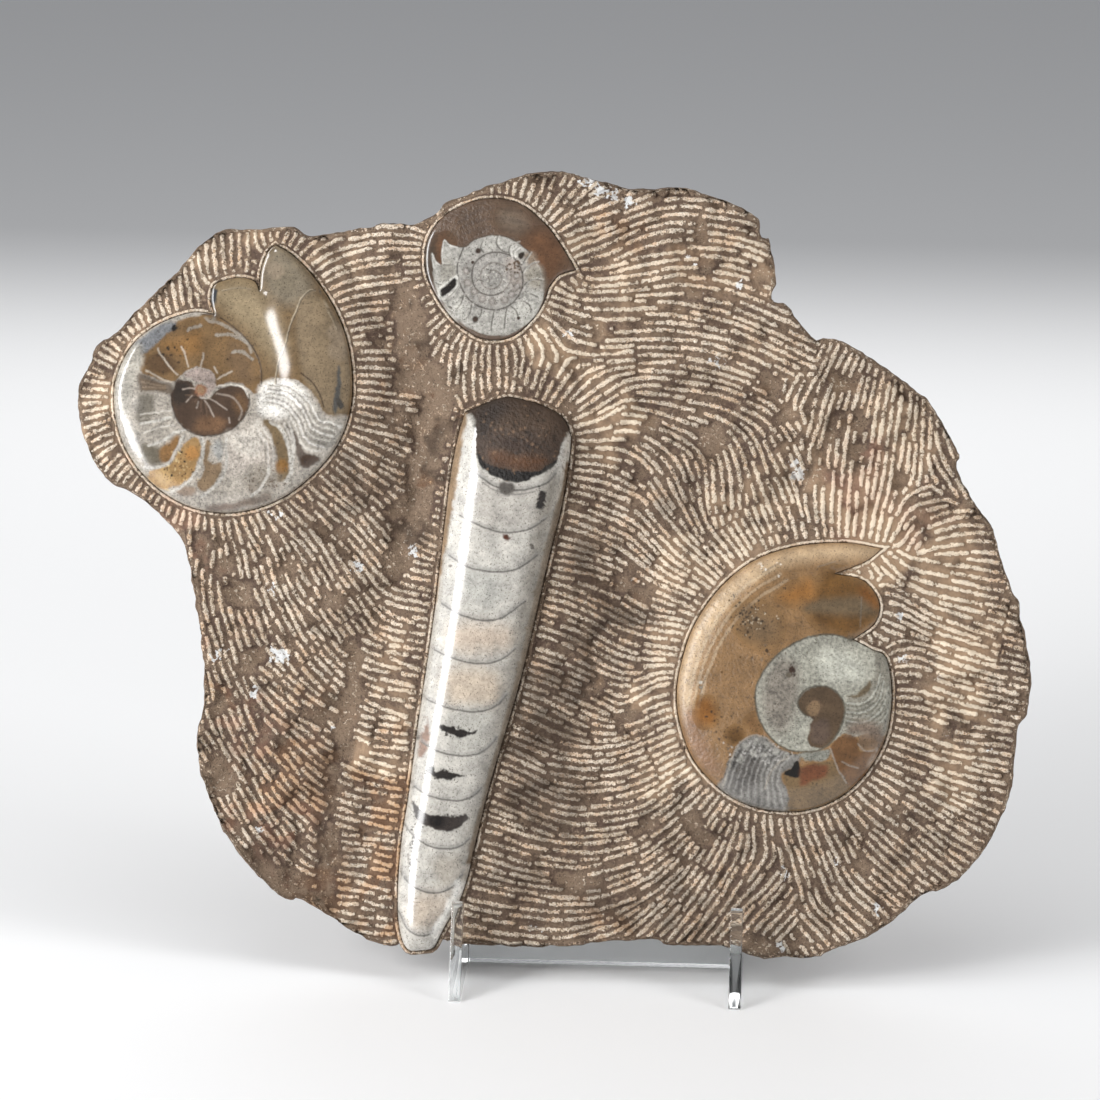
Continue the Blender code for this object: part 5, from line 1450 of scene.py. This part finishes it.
    face.fan(["#8a8883", "#45423f", "#96938e", "#54514d"], 0.26,
             [(79.6, 84.4), (75.8, 78.8), (73.4, 72.4), (71, 66.6), (69.4, 62)],
             [(99, 79.6), (94.8, 75.4), (93, 69), (94.6, 63), (96, 56)], 19, 0.55)
    face.speckle("#2f2c2a", 80, 77, (5, 4), 70, 0.45, 0.6)
    face.speckle("#b9b6b0", 84, 80, (6, 3), 50, 0.4, 0.5)
    for x, y in ((80, 82.6), (84, 84.6), (88.6, 83.4), (92, 80.6), (83, 80), (96, 79), (78, 77.6), (88, 79.4)):
        face.spot("#98968e", x, y, 1.4, 1.0, 0.6)
    for course in ([(77.5, 84), (82.4, 87), (88, 86.2), (92.1, 82.6)], [(113.6, 82.6), (115.4, 78), (117.4, 73.6),
                   (120.4, 69)], [(124.6, 84.4), (128, 81.8), (134.4, 82.4)], [(118.6, 77.4), (121.6, 75.8), (125, 75)],
                   [(88, 66), (90, 72), (93.6, 76.6), (97, 79)], [(71, 66.4), (73, 72), (75, 79), (78, 84)]):
        face.line("#938b80", 0.24, course, 0.7, 0.5)
    for course in ([(99, 121.8), (103.4, 118.6), (105.4, 113.6)], [(89, 92), (93, 87.4)], [(124.8, 143), (124.5, 130.4)],
                   [(63, 109), (61.6, 103)], [(85, 152), (92, 156)], [(114, 157), (107, 154.6)]):
        face.line("#6d6a62", 0.16, course, 0.5)
    face.zone("#6f6155", 2.5, [(121, 92), (126, 94), (133, 92), (133, 87.6), (124, 88), (119.6, 88.8)], 0.9)
    # Painted reflection: a soft pale spot by the lower right rim.
    face.spot("#9c8c7b", 131.8, 77.1, 3.4, 0.3, 0.7)
    face.speckle("#332a20", 80, 134, (3.4, 3.4), 60, 0.36)
    face.speckle("#c3b49c", 82, 133, (4, 3), 26, 0.3, 0.6)
    face.speckle("#453320", 92, 128, (9, 10), 30, 0.28, 0.7)
    face.speckle("#55504a", 92, 108, (4, 8), 60, 0.5, 0.45)
    face.speckle("#3c2a1a", 73, 91, (5, 4), 26, 0.34)
    face.speckle("#ddd6ca", 84, 154, (4, 3), 12, 0.35, 0.8)
    face.spot("#3a2a20", 97.8, 113.6, 1.3)
    face.speckle("#3a2a20", 97.6, 113.4, (1.4, 1.2), 14, 0.4)
    face.spot("#5d5549", 96.4, 111.4, 1.1)
    face.spot("#b7b0a4", 61.7, 107.3, 0.7)
    face.spot("#7a7267", 61.9, 105.6, 0.6)
    for x, y, radius in ((83, 133, 0.7), (80, 128, 0.6), (86, 130, 0.5), (88, 121, 0.7), (72, 140, 0.5),
                         (94, 146, 0.5), (66, 96, 0.6), (64, 94, 0.5), (77, 118, 0.4), (70, 112, 0.4)):
        face.spot("#3d2d1e", x, y, radius)


SEPTA = [
    [(-30.4, 189.8), (-27, 186.9), (-22.3, 184.2), (-17, 182.6), (-11, 182.6), (-6, 183.8), (-1, 186), (2, 189.6)],
    [(-36, 172), (-29.6, 168.9), (-24.6, 167), (-19.2, 165.7), (-12.5, 165.9), (-5.9, 168.2), (-1.6, 171.6)],
    [(-40, 156), (-33, 151.9), (-26, 150.2), (-20, 149.8), (-14, 150.6), (-9.5, 153), (-4.6, 157)],
    [(-43, 137), (-36, 133), (-30, 131), (-24.5, 130.3), (-19, 131.2), (-14.6, 134), (-9, 138.5)],
    [(-46, 118.5), (-40, 116), (-33, 113.8), (-27, 113.1), (-21, 113.8), (-16.4, 116), (-12.6, 119.4)],
    [(-49, 99), (-44.6, 97), (-38, 95), (-30, 93.9), (-23.6, 94.6), (-19, 97), (-15.8, 101)],
    [(-51.6, 83), (-47.6, 80.2), (-43.1, 78), (-38.3, 76.7), (-31.5, 76.2), (-25.5, 77.6), (-21.6, 80.8), (-19.5, 84)],
    [(-54, 65.5), (-50, 62), (-44.7, 59.6), (-39.3, 58.6), (-33.8, 58.2), (-28.5, 60), (-25.1, 63.4)],
    [(-55.6, 48), (-52.6, 44.6), (-49.1, 41.9), (-44.3, 39.6), (-38.9, 38.9), (-33.5, 39.8), (-28.8, 43.4)],
    [(-56.6, 29), (-53.4, 25), (-49, 22.4), (-43.9, 21.1), (-38.5, 22.1), (-34.4, 25), (-31.8, 29)],
    [(-57, 13), (-54.5, 7.9), (-51.7, 5), (-47.6, 3.8), (-43.5, 5), (-40.4, 8.6)],
]


def paint_straight(face):
    """White and grey calcite chambers with dark bowed walls and a plug of brown mud."""
    face.zone("#aba69e", 4.0, [(-30, 184), (-4, 184), (-2, 172), (-8, 168), (-26, 168)], 0.35)
    face.zone("#b7a898", 5.0, [(-38, 128), (-16, 128), (-14, 120), (-36, 118)], 0.35)
    face.zone("#b3a594", 5.0, [(-40, 110), (-20, 110), (-18, 98), (-38, 97)], 0.35)
    face.zone("#b0a394", 5.0, [(-50, 20), (-36, 20), (-40, 8), (-52, 8)], 0.35)
    face.zone("#aaa79f", 4.0, [(-36, 94), (-24, 94), (-22, 80), (-36, 78)], 0.35)
    face.zone("#a8a69f", 4.0, [(-34, 150), (-22, 151), (-18, 140), (-24, 136), (-34, 140)], 0.35)
    face.zone("#a29b90", 3.0, [(-34, 36), (-30, 30), (-33, 22), (-40, 24), (-44, 34)], 0.35)
    face.zone("#8b765f", 0.7, [
        (-34.4, 213), (-35.7, 200.7), (-36.8, 190), (-38.2, 179.3), (-40, 167.2), (-41.8, 157.2), (-44, 145),
        (-46, 132), (-50, 132), (-50, 160), (-46, 190), (-42, 212), (-37, 216)], 0.3)
    face.zone("#57442f", 0.5, [
        (6, 194), (3.9, 181.4), (1.3, 174.7), (-0.6, 166.6), (-2.3, 159.9), (-4.2, 152.5), (-6.1, 144.5),
        (-7.8, 135.8), (-9.7, 127.7), (-11.5, 121), (-12.6, 115), (-14.6, 104), (-16.3, 95.8), (-18.5, 84.9),
        (-20.5, 76.7), (-22.7, 68.5), (-24.8, 57.6), (-27, 50.8), (-28.9, 44), (-30.4, 33), (-26, 36),
        (-18, 60), (-8, 100), (2, 150), (9, 185)], 0.2)
    face.zone("#403228", 0.35, PLUG, 0.0)
    face.zone("#46372b", 3.5, [(-28, 212), (-14, 216), (0, 212), (4, 206), (-6, 205), (-20, 205)], 0.0)
    face.zone("#51341d", 3.0, [(-24, 197.5), (-16, 196.5), (-6, 196), (-2, 194), (-8, 191), (-16, 191), (-22, 193)], 0.0)
    face.zone("#3a2b22", 2.0, [(-20, 203), (-8, 202), (-6, 199), (-16, 199)], 0.0)
    face.zone("#120e0b", 0.4, [
        (-29.2, 197.4), (-26.6, 193.9), (-22.5, 191.6), (-16.4, 190.2), (-9.7, 190), (-3.1, 191.4), (2.4, 195.4),
        (0.9, 192.2), (-3.8, 189.1), (-9.7, 186.6), (-15, 185.6), (-20.4, 187.1), (-25.4, 189.5), (-28.8, 193)], 0.0)
    face.zone("#7c604e", 0.8, [(-49.4, 85.5), (-46.8, 88), (-46.2, 84), (-47, 79), (-48.8, 75), (-50.4, 74.6),
                               (-50.6, 79)])
    # Painted shade: a greyer band down the right third of the shell, the side turned away from the light.
    face.zone("#857f75", 4.0, [(-2, 186), (-9, 150), (-15, 118), (-21, 90), (-28, 58), (-33, 36), (-29, 38), (-20, 72),
                               (-10, 112), (-2, 150), (4, 186)], 0.35)
    face.zone("#2e241d", 3.0, [(-31, 214), (-24, 219), (-18, 216), (-22, 209), (-28, 203), (-30, 207)], 0.0)
    face.speckle("#7a6048", -12, 203, (9, 7), 60, 0.5, 0.5)
    face.speckle("#221a14", -14, 206, (10, 6), 60, 0.6, 0.6)
    for course in SEPTA:
        face.line("#57534f", 0.28, course, 0.9)
        face.line("#8d8a85", 0.5, [(x, y + 0.9) for x, y in course], 0.45)
    face.line("#6b6762", 0.2, [(x, y - 1.6) for x, y in SEPTA[0][1:6]], 0.7)
    face.zone("#55504b", 1.0, [(-20, 185), (-16, 185.4), (-14, 182.6), (-17, 180.4), (-20, 182)])
    face.zone("#2c2825", 0.4, [(-4.2, 182.2), (-1.8, 182), (-2.8, 178.6), (-3.2, 175.2), (-4.9, 175), (-4.4, 178.5)])
    face.zone("#1d1815", 0.35, [
        (-42, 88.7), (-40, 88.4), (-38.6, 87.6), (-36.2, 88), (-35.5, 86.6), (-32.5, 86.8), (-30.4, 85.8),
        (-27, 86.5), (-27.7, 85.4), (-30.4, 84.6), (-33.1, 83.4), (-35.1, 83.8), (-37.2, 85), (-39.2, 85.4),
        (-41.8, 86)])
    face.zone("#1f1b18", 0.35, [
        (-46.7, 70.8), (-44.3, 71.4), (-43.1, 69.8), (-38.2, 70.2), (-35.5, 69.1), (-32, 68.4), (-35.4, 67.4),
        (-39.8, 66.2), (-42.8, 67.1), (-44.5, 68.6), (-46.3, 69.2)])
    face.zone("#332c28", 0.35, [
        (-52.6, 57.4), (-50.1, 55), (-45.9, 52.5), (-43.2, 52.1), (-39.8, 52.3), (-35.1, 51.6), (-30.3, 53.2),
        (-29.8, 51.6), (-32.3, 48.7), (-36.3, 46), (-40.4, 46.1), (-44.5, 47), (-48.6, 48.4), (-51.4, 51.6)])
    face.zone("#110c0a", 1.0, [(-45.4, 51.6), (-41, 52), (-39.2, 50), (-41, 47.4), (-45, 48)])
    face.line("#6f655c", 0.3, [(-54, 36), (-53, 32), (-51, 30.5)], 0.6)
    face.line("#8a7d72", 0.4, [(-50.6, 91.6), (-47.4, 91), (-47, 89)], 0.6)
    face.spot("#4b2c1f", -17.1, 163.5, 1.6)
    face.spot("#5f5953", -7, 160.2, 0.9)
    face.spot("#6c655d", -39, 152, 0.7)
    face.zone("#d9d6cf", 1.2, [(-34, 26), (-30.6, 24), (-33.4, 17), (-38, 9), (-42, 2), (-44, 6), (-40, 12), (-36.4, 20)],
              0.35)
    face.spot("#5a5148", -37.4, 4, 2.0)
    for x, y, spread in ((-36, 86, (3.6, 1.0)), (-40, 69, (3.6, 1.0)), (-41, 51, (6, 2.2)), (-52, 38, (1, 4)),
                         (-3.4, 179, (0.8, 2.2))):
        face.speckle("#2b2521", x, y, spread, 36, 0.34)


def polished_calcite(name):
    """Shell and mud turned to calcite and cut with a stone polisher. It is glassy, so lights show
    in it as clear shapes. Under the gloss the calcite is grainy and the mud is mottled, both with
    fine specks. The mud that plugs the straight shell is left matt."""
    material, shader = new_material(name)
    place = add_node(material, "ShaderNodeTexCoord").outputs["Object"]

    def noise_of(size, detail=2.0, distortion=0.0):
        return add_node(material, "ShaderNodeTexNoise", Vector=place, Scale=per_mm(size), Detail=detail,
                        Distortion=distortion).outputs[0]

    def calc(operation, a, b):
        return add_node(material, "ShaderNodeMath", {"operation": operation}, _0=a, _1=b).outputs[0]

    tone = add_node(material, "ShaderNodeAttribute", {"attribute_name": "tone"}).outputs["Color"]
    marble = add_node(material, "ShaderNodeAttribute", {"attribute_name": "marble"}).outputs["Fac"]
    mottle = noise_of(6.0, 5.0)
    crystals = noise_of(1.3, 3.0)
    pits = noise_of(0.55, 1.0)
    grain = calc("MULTIPLY", calc("SUBTRACT", crystals, 0.5), calc("ADD", 0.4, calc("MULTIPLY", marble, 1.3)))
    value = calc("ADD", 1.0, calc("ADD", grain, calc("MULTIPLY", calc("SUBTRACT", mottle, 0.5), 1.1)))
    varied = add_node(material, "ShaderNodeHueSaturation", Value=value, Color=tone).outputs[0]
    specks = mix(material, blend_range(material, pits, 0.39, 0.31, 0, 0.6), varied, color("#2f261d"))
    material.node_tree.links.new(specks, shader.inputs["Base Color"])
    polish = blend_range(material, marble, 0.0, 0.1)
    material.node_tree.links.new(calc("SUBTRACT", 0.7, calc("MULTIPLY", polish, 0.52)), shader.inputs["Roughness"])
    material.node_tree.links.new(calc("MULTIPLY", polish, 0.5), shader.inputs["Coat Weight"])
    uneven = add_node(material, "ShaderNodeBump", Height=calc("ADD", crystals, mottle), Distance=0.0012,
                      Strength=calc("SUBTRACT", 0.85, calc("MULTIPLY", polish, 0.85)))
    material.node_tree.links.new(uneven.outputs[0], shader.inputs["Normal"])
    shader.inputs["IOR"].default_value = 1.55
    shader.inputs["Coat Roughness"].default_value = 0.14
    return material


def build_shell(name, rim, sizes, crown, spacing, slot, ground, marble, wander, paint):
    depth, width, _ = sizes
    points, faces, face_count = crown_mesh(rim, width, crown, depth, spacing)
    face = ShellFace(points[:, :2], ground, marble, wander)
    paint(face)
    material = polished_calcite("polished calcite " + name)
    shell = mesh_object(name + "_polished", points, faces, {"tone": face.tone, "marble": face.marble}, material)
    hand_over(shell, slot, name)


# ---- the easel ----------------------------------------------------------------------------

SHEET = 4.8
SIDE_MIDDLES = (-33.0, 78.0)
TOE_Y, HEEL_Y = -72.0, 72.0
LIP_TOP_Z, LIP_INNER_Y, LIP_THICK = 35.0, -47.3, 6.5
LEDGE_V, REST_W = -1.0, -22.4
UPRIGHT_LENGTH, UPRIGHT_TOP_WIDTH, UPRIGHT_FOOT_WIDTH = 165.0, 13.0, 22.0
HEEL_HEIGHT = 9.0
PANEL_FLOOR_GAP, PANEL_HEIGHT = 1.2, 75.0
EDGE_BREAK = 0.4


def in_profile(v, w):
    """A point of the leaning plate's own plane in the easel's profile: y and z in mm."""
    y = FOOT[1] + v * math.sin(LEAN) - w * math.cos(LEAN)
    z = FOOT[2] + v * math.cos(LEAN) + w * math.sin(LEAN)
    return Vector((y, z))


def rounded(corners, arc_steps=10):
    """A closed outline from (point, radius) corners, each rounded by an arc."""
    count = len(corners)
    found = []
    for i, (point, radius) in enumerate(corners):
        to_last = (corners[i - 1][0] - point).normalized()
        to_next = (corners[(i + 1) % count][0] - point).normalized()
        if radius == 0:
            found.append(point)
            continue
        half = to_last.angle(to_next) / 2
        middle = point + (to_last + to_next).normalized() * (radius / math.sin(half))
        start = point + to_last * (radius / math.tan(half)) - middle
        end = point + to_next * (radius / math.tan(half)) - middle
        turn = start.angle_signed(end)
        for k in range(arc_steps + 1):
            c, s = math.cos(-turn * k / arc_steps), math.sin(-turn * k / arc_steps)
            found.append(middle + Vector((start.x * c - start.y * s, start.x * s + start.y * c)))
    return found


def side_outline():
    """One side plate: toe, lip, ledge, leaning upright and heel."""
    return rounded([
        (Vector((TOE_Y, 0)), 0.8),
        (Vector((LIP_INNER_Y - LIP_THICK, LIP_TOP_Z)), 3.0),
        (Vector((LIP_INNER_Y, LIP_TOP_Z)), 3.0),
        (Vector((LIP_INNER_Y, in_profile(LEDGE_V, 1.2).y)), 0.0),
        (in_profile(LEDGE_V, REST_W), 1.0),
        (in_profile(UPRIGHT_LENGTH, REST_W), 3.0),
        (in_profile(UPRIGHT_LENGTH, REST_W - UPRIGHT_TOP_WIDTH), 4.0),
        (in_profile(24.0, REST_W - UPRIGHT_FOOT_WIDTH), 24.0),
        (Vector((HEEL_Y, HEEL_HEIGHT)), 3.0),
        (Vector((HEEL_Y, 0)), 0.8),
    ])


def panel_outline():
    """The cross panel in profile: it leans with the plate and ends level above the floor."""
    rise = (PANEL_FLOOR_GAP - FOOT[2] - REST_W * math.sin(LEAN)) / math.cos(LEAN)
    back_rise = rise + SHEET * math.tan(LEAN)
    return [
        in_profile(rise, REST_W),
        in_profile(rise + PANEL_HEIGHT, REST_W),
        in_profile(rise + PANEL_HEIGHT, REST_W - SHEET),
        in_profile(back_rise, REST_W - SHEET),
    ]


def clear_acrylic():
    """Cast acrylic sheet, saw-cut and flame polished: water clear, with bright edges."""
    material, shader = new_material("clear cast acrylic")
    shader.inputs["Base Color"].default_value = color("#fcfefe")
    shader.inputs["Roughness"].default_value = 0.03
    shader.inputs["IOR"].default_value = 1.49
    shader.inputs["Transmission Weight"].default_value = 1.0
    return material


def sheet_piece(name, outline, thickness, middle_x, material, node):
    """A flat acrylic piece cut to an outline in profile, with its edges broken."""
    curve = bpy.data.curves.new(name, "CURVE")
    curve.dimensions = "2D"
    curve.fill_mode = "BOTH"
    curve.extrude = (thickness / 2 - EDGE_BREAK) * MM
    curve.bevel_depth = EDGE_BREAK * MM
    curve.bevel_resolution = 2
    curve.offset = -EDGE_BREAK * MM
    spline = curve.splines.new("POLY")
    spline.points.add(len(outline) - 1)
    for target, p in zip(spline.points, outline):
        target.co = (p.x * MM, p.y * MM, 0, 1)
    spline.use_cyclic_u = True
    holder = bpy.data.objects.new(name, curve)
    bpy.context.scene.collection.objects.link(holder)
    graph = bpy.context.evaluated_depsgraph_get()
    mesh = bpy.data.meshes.new_from_object(holder.evaluated_get(graph), depsgraph=graph)
    bpy.data.objects.remove(holder)
    bm = bmesh.new()
    bm.from_mesh(mesh)
    bmesh.ops.remove_doubles(bm, verts=bm.verts[:], dist=1e-6)
    for vert in bm.verts:
        x, y, z = vert.co
        vert.co = (z + middle_x * MM, x, y)
    bmesh.ops.recalc_face_normals(bm, faces=bm.faces[:])
    bm.to_mesh(mesh)
    bm.free()
    mesh.shade_smooth()
    mesh.set_sharp_from_angle(angle=math.radians(35))
    mesh.materials.clear()
    mesh.materials.append(material)
    piece = bpy.data.objects.new(name, mesh)
    bpy.context.scene.collection.objects.link(piece)
    hand_over(piece, "clear_acrylic", node)


def build_easel():
    material = clear_acrylic()
    for side, middle_x in zip(("left", "right"), SIDE_MIDDLES):
        sheet_piece(f"easel_side_{side}", side_outline(), SHEET, middle_x + FOOT[0], material,
                    f"stand_side_{side}")
    span = SIDE_MIDDLES[1] - SIDE_MIDDLES[0] - SHEET - 2 * GAP
    sheet_piece("easel_cross_panel", panel_outline(), span, sum(SIDE_MIDDLES) / 2 + FOOT[0], material,
                "stand_cross_panel")


# ---- floor, lights and camera ---------------------------------------------------------------

def build_floor():
    mesh = bpy.data.meshes.new("floor")
    mesh.from_pydata([(-6, -4, 0), (6, -4, 0), (6, 9, 0), (-6, 9, 0)], [], [(0, 1, 2, 3)])
    floor = bpy.data.objects.new("floor", mesh)
    bpy.context.scene.collection.objects.link(floor)
    material, shader = new_material("matt pale board")
    shader.inputs["Base Color"].default_value = color("#f0f0f0")
    shader.inputs["Roughness"].default_value = 0.6
    mesh.materials.append(material)


def area_light(name, place, aim, size, power, in_gloss=True):
    light = bpy.data.lights.new(name, "AREA")
    light.shape = "RECTANGLE"
    light.size, light.size_y = size
    light.energy = power
    lamp = bpy.data.objects.new(name, light)
    lamp.visible_glossy = in_gloss
    lamp.location = place
    lamp.rotation_euler = (Vector(aim) - Vector(place)).to_track_quat("-Z", "Y").to_euler()
    bpy.context.scene.collection.objects.link(lamp)


def build_lights():
    world = bpy.data.worlds.new("soft room")
    bpy.context.scene.world = world
    bpy.context.scene.view_settings.view_transform = "Standard"
    world.use_nodes = True
    background = world.node_tree.nodes["Background"]
    background.inputs["Color"].default_value = color("#d8dade")
    background.inputs["Strength"].default_value = 0.4
    middle = (0, 0, 0.16)
    area_light("left window", (-1.12, -1.04, 0.44), middle, (0.42, 1.5), 28)
    area_light("left wall", (-1.5, -0.45, 0.4), middle, (0.9, 1.5), 9)
    area_light("left key", (-1.25, -0.6, 0.95), middle, (0.4, 0.6), 3, False)
    area_light("right softbox", (1.3, -0.6, 0.9), middle, (0.5, 0.9), 10, False)
    area_light("top softbox", (0, -0.2, 1.5), middle, (1.2, 0.6), 4, False)
    area_light("back fill", (0, 1.1, 0.6), (0, 0.1, 0), (1.8, 0.5), 6, False)


VIEW_AZIMUTH = math.radians(3.0)
VIEW_ELEVATION = math.radians(15.0)
VIEW_ROLL = math.radians(0.5)
VIEW_DISTANCE = 2000.0
PIXELS_PER_MM = 2.5
IMAGE_PIXELS = 1100
SENSOR = 36.0


def build_camera():
    back = np.array((math.sin(VIEW_AZIMUTH) * math.cos(VIEW_ELEVATION),
                     -math.cos(VIEW_AZIMUTH) * math.cos(VIEW_ELEVATION), math.sin(VIEW_ELEVATION)))
    right = np.cross((0, 0, 1), back)
    right /= np.linalg.norm(right)
    up = np.cross(back, right)
    c, s = math.cos(VIEW_ROLL), math.sin(VIEW_ROLL)
    right, up = right * c + up * s, -right * s + up * c
    eye = (FOOT + UP_FACE * 159.0 + back * VIEW_DISTANCE) * MM
    data = bpy.data.cameras.new("photo camera")
    data.sensor_width = SENSOR
    data.lens = SENSOR * PIXELS_PER_MM * VIEW_DISTANCE / IMAGE_PIXELS
    data.clip_end = 50
    camera = bpy.data.objects.new("photo camera", data)
    turn = np.eye(4)
    turn[:3, :3] = np.column_stack((right, up, back))
    turn[:3, 3] = eye
    camera.matrix_world = Matrix(turn.tolist())
    bpy.context.scene.collection.objects.link(camera)
    bpy.context.scene.camera = camera


RIMS = [ring_of_runs(runs, 1.5) for runs in (LEFT_RIM, TOP_RIM, RIGHT_RIM, STRAIGHT_RIM)]
DEPTHS = [LEFT_SHELL[0], TOP_SHELL[0], RIGHT_SHELL[0], STRAIGHT_DEPTH]

build_plate()
build_shell("ammonite_left", RIMS[0], LEFT_SHELL, coiled_crown(LEFT_SHELL[2], RIMS[0], INNER_WHORLS), 0.42, "ammonite_left_shell",
            "#968f85", 1.0, 0.8, paint_left)
build_shell("ammonite_top", RIMS[1], TOP_SHELL, coiled_crown(TOP_SHELL[2], RIMS[1]), 0.34, "ammonite_top_shell",
            "#523f30", 0.05, 0.3, paint_top)
build_shell("ammonite_right", RIMS[2], RIGHT_SHELL, coiled_crown(RIGHT_SHELL[2], RIMS[2]), 0.42, "ammonite_right_shell",
            "#7f613f", 0.05, 0.7, paint_right)
build_shell("orthoceras", RIMS[3], (STRAIGHT_DEPTH, 0, 0), straight_crown, 0.42, "orthoceras_shell",
            "#b5b1a9", 0.35, 1.0, paint_straight)
build_easel()
build_floor()
build_lights()
build_camera()
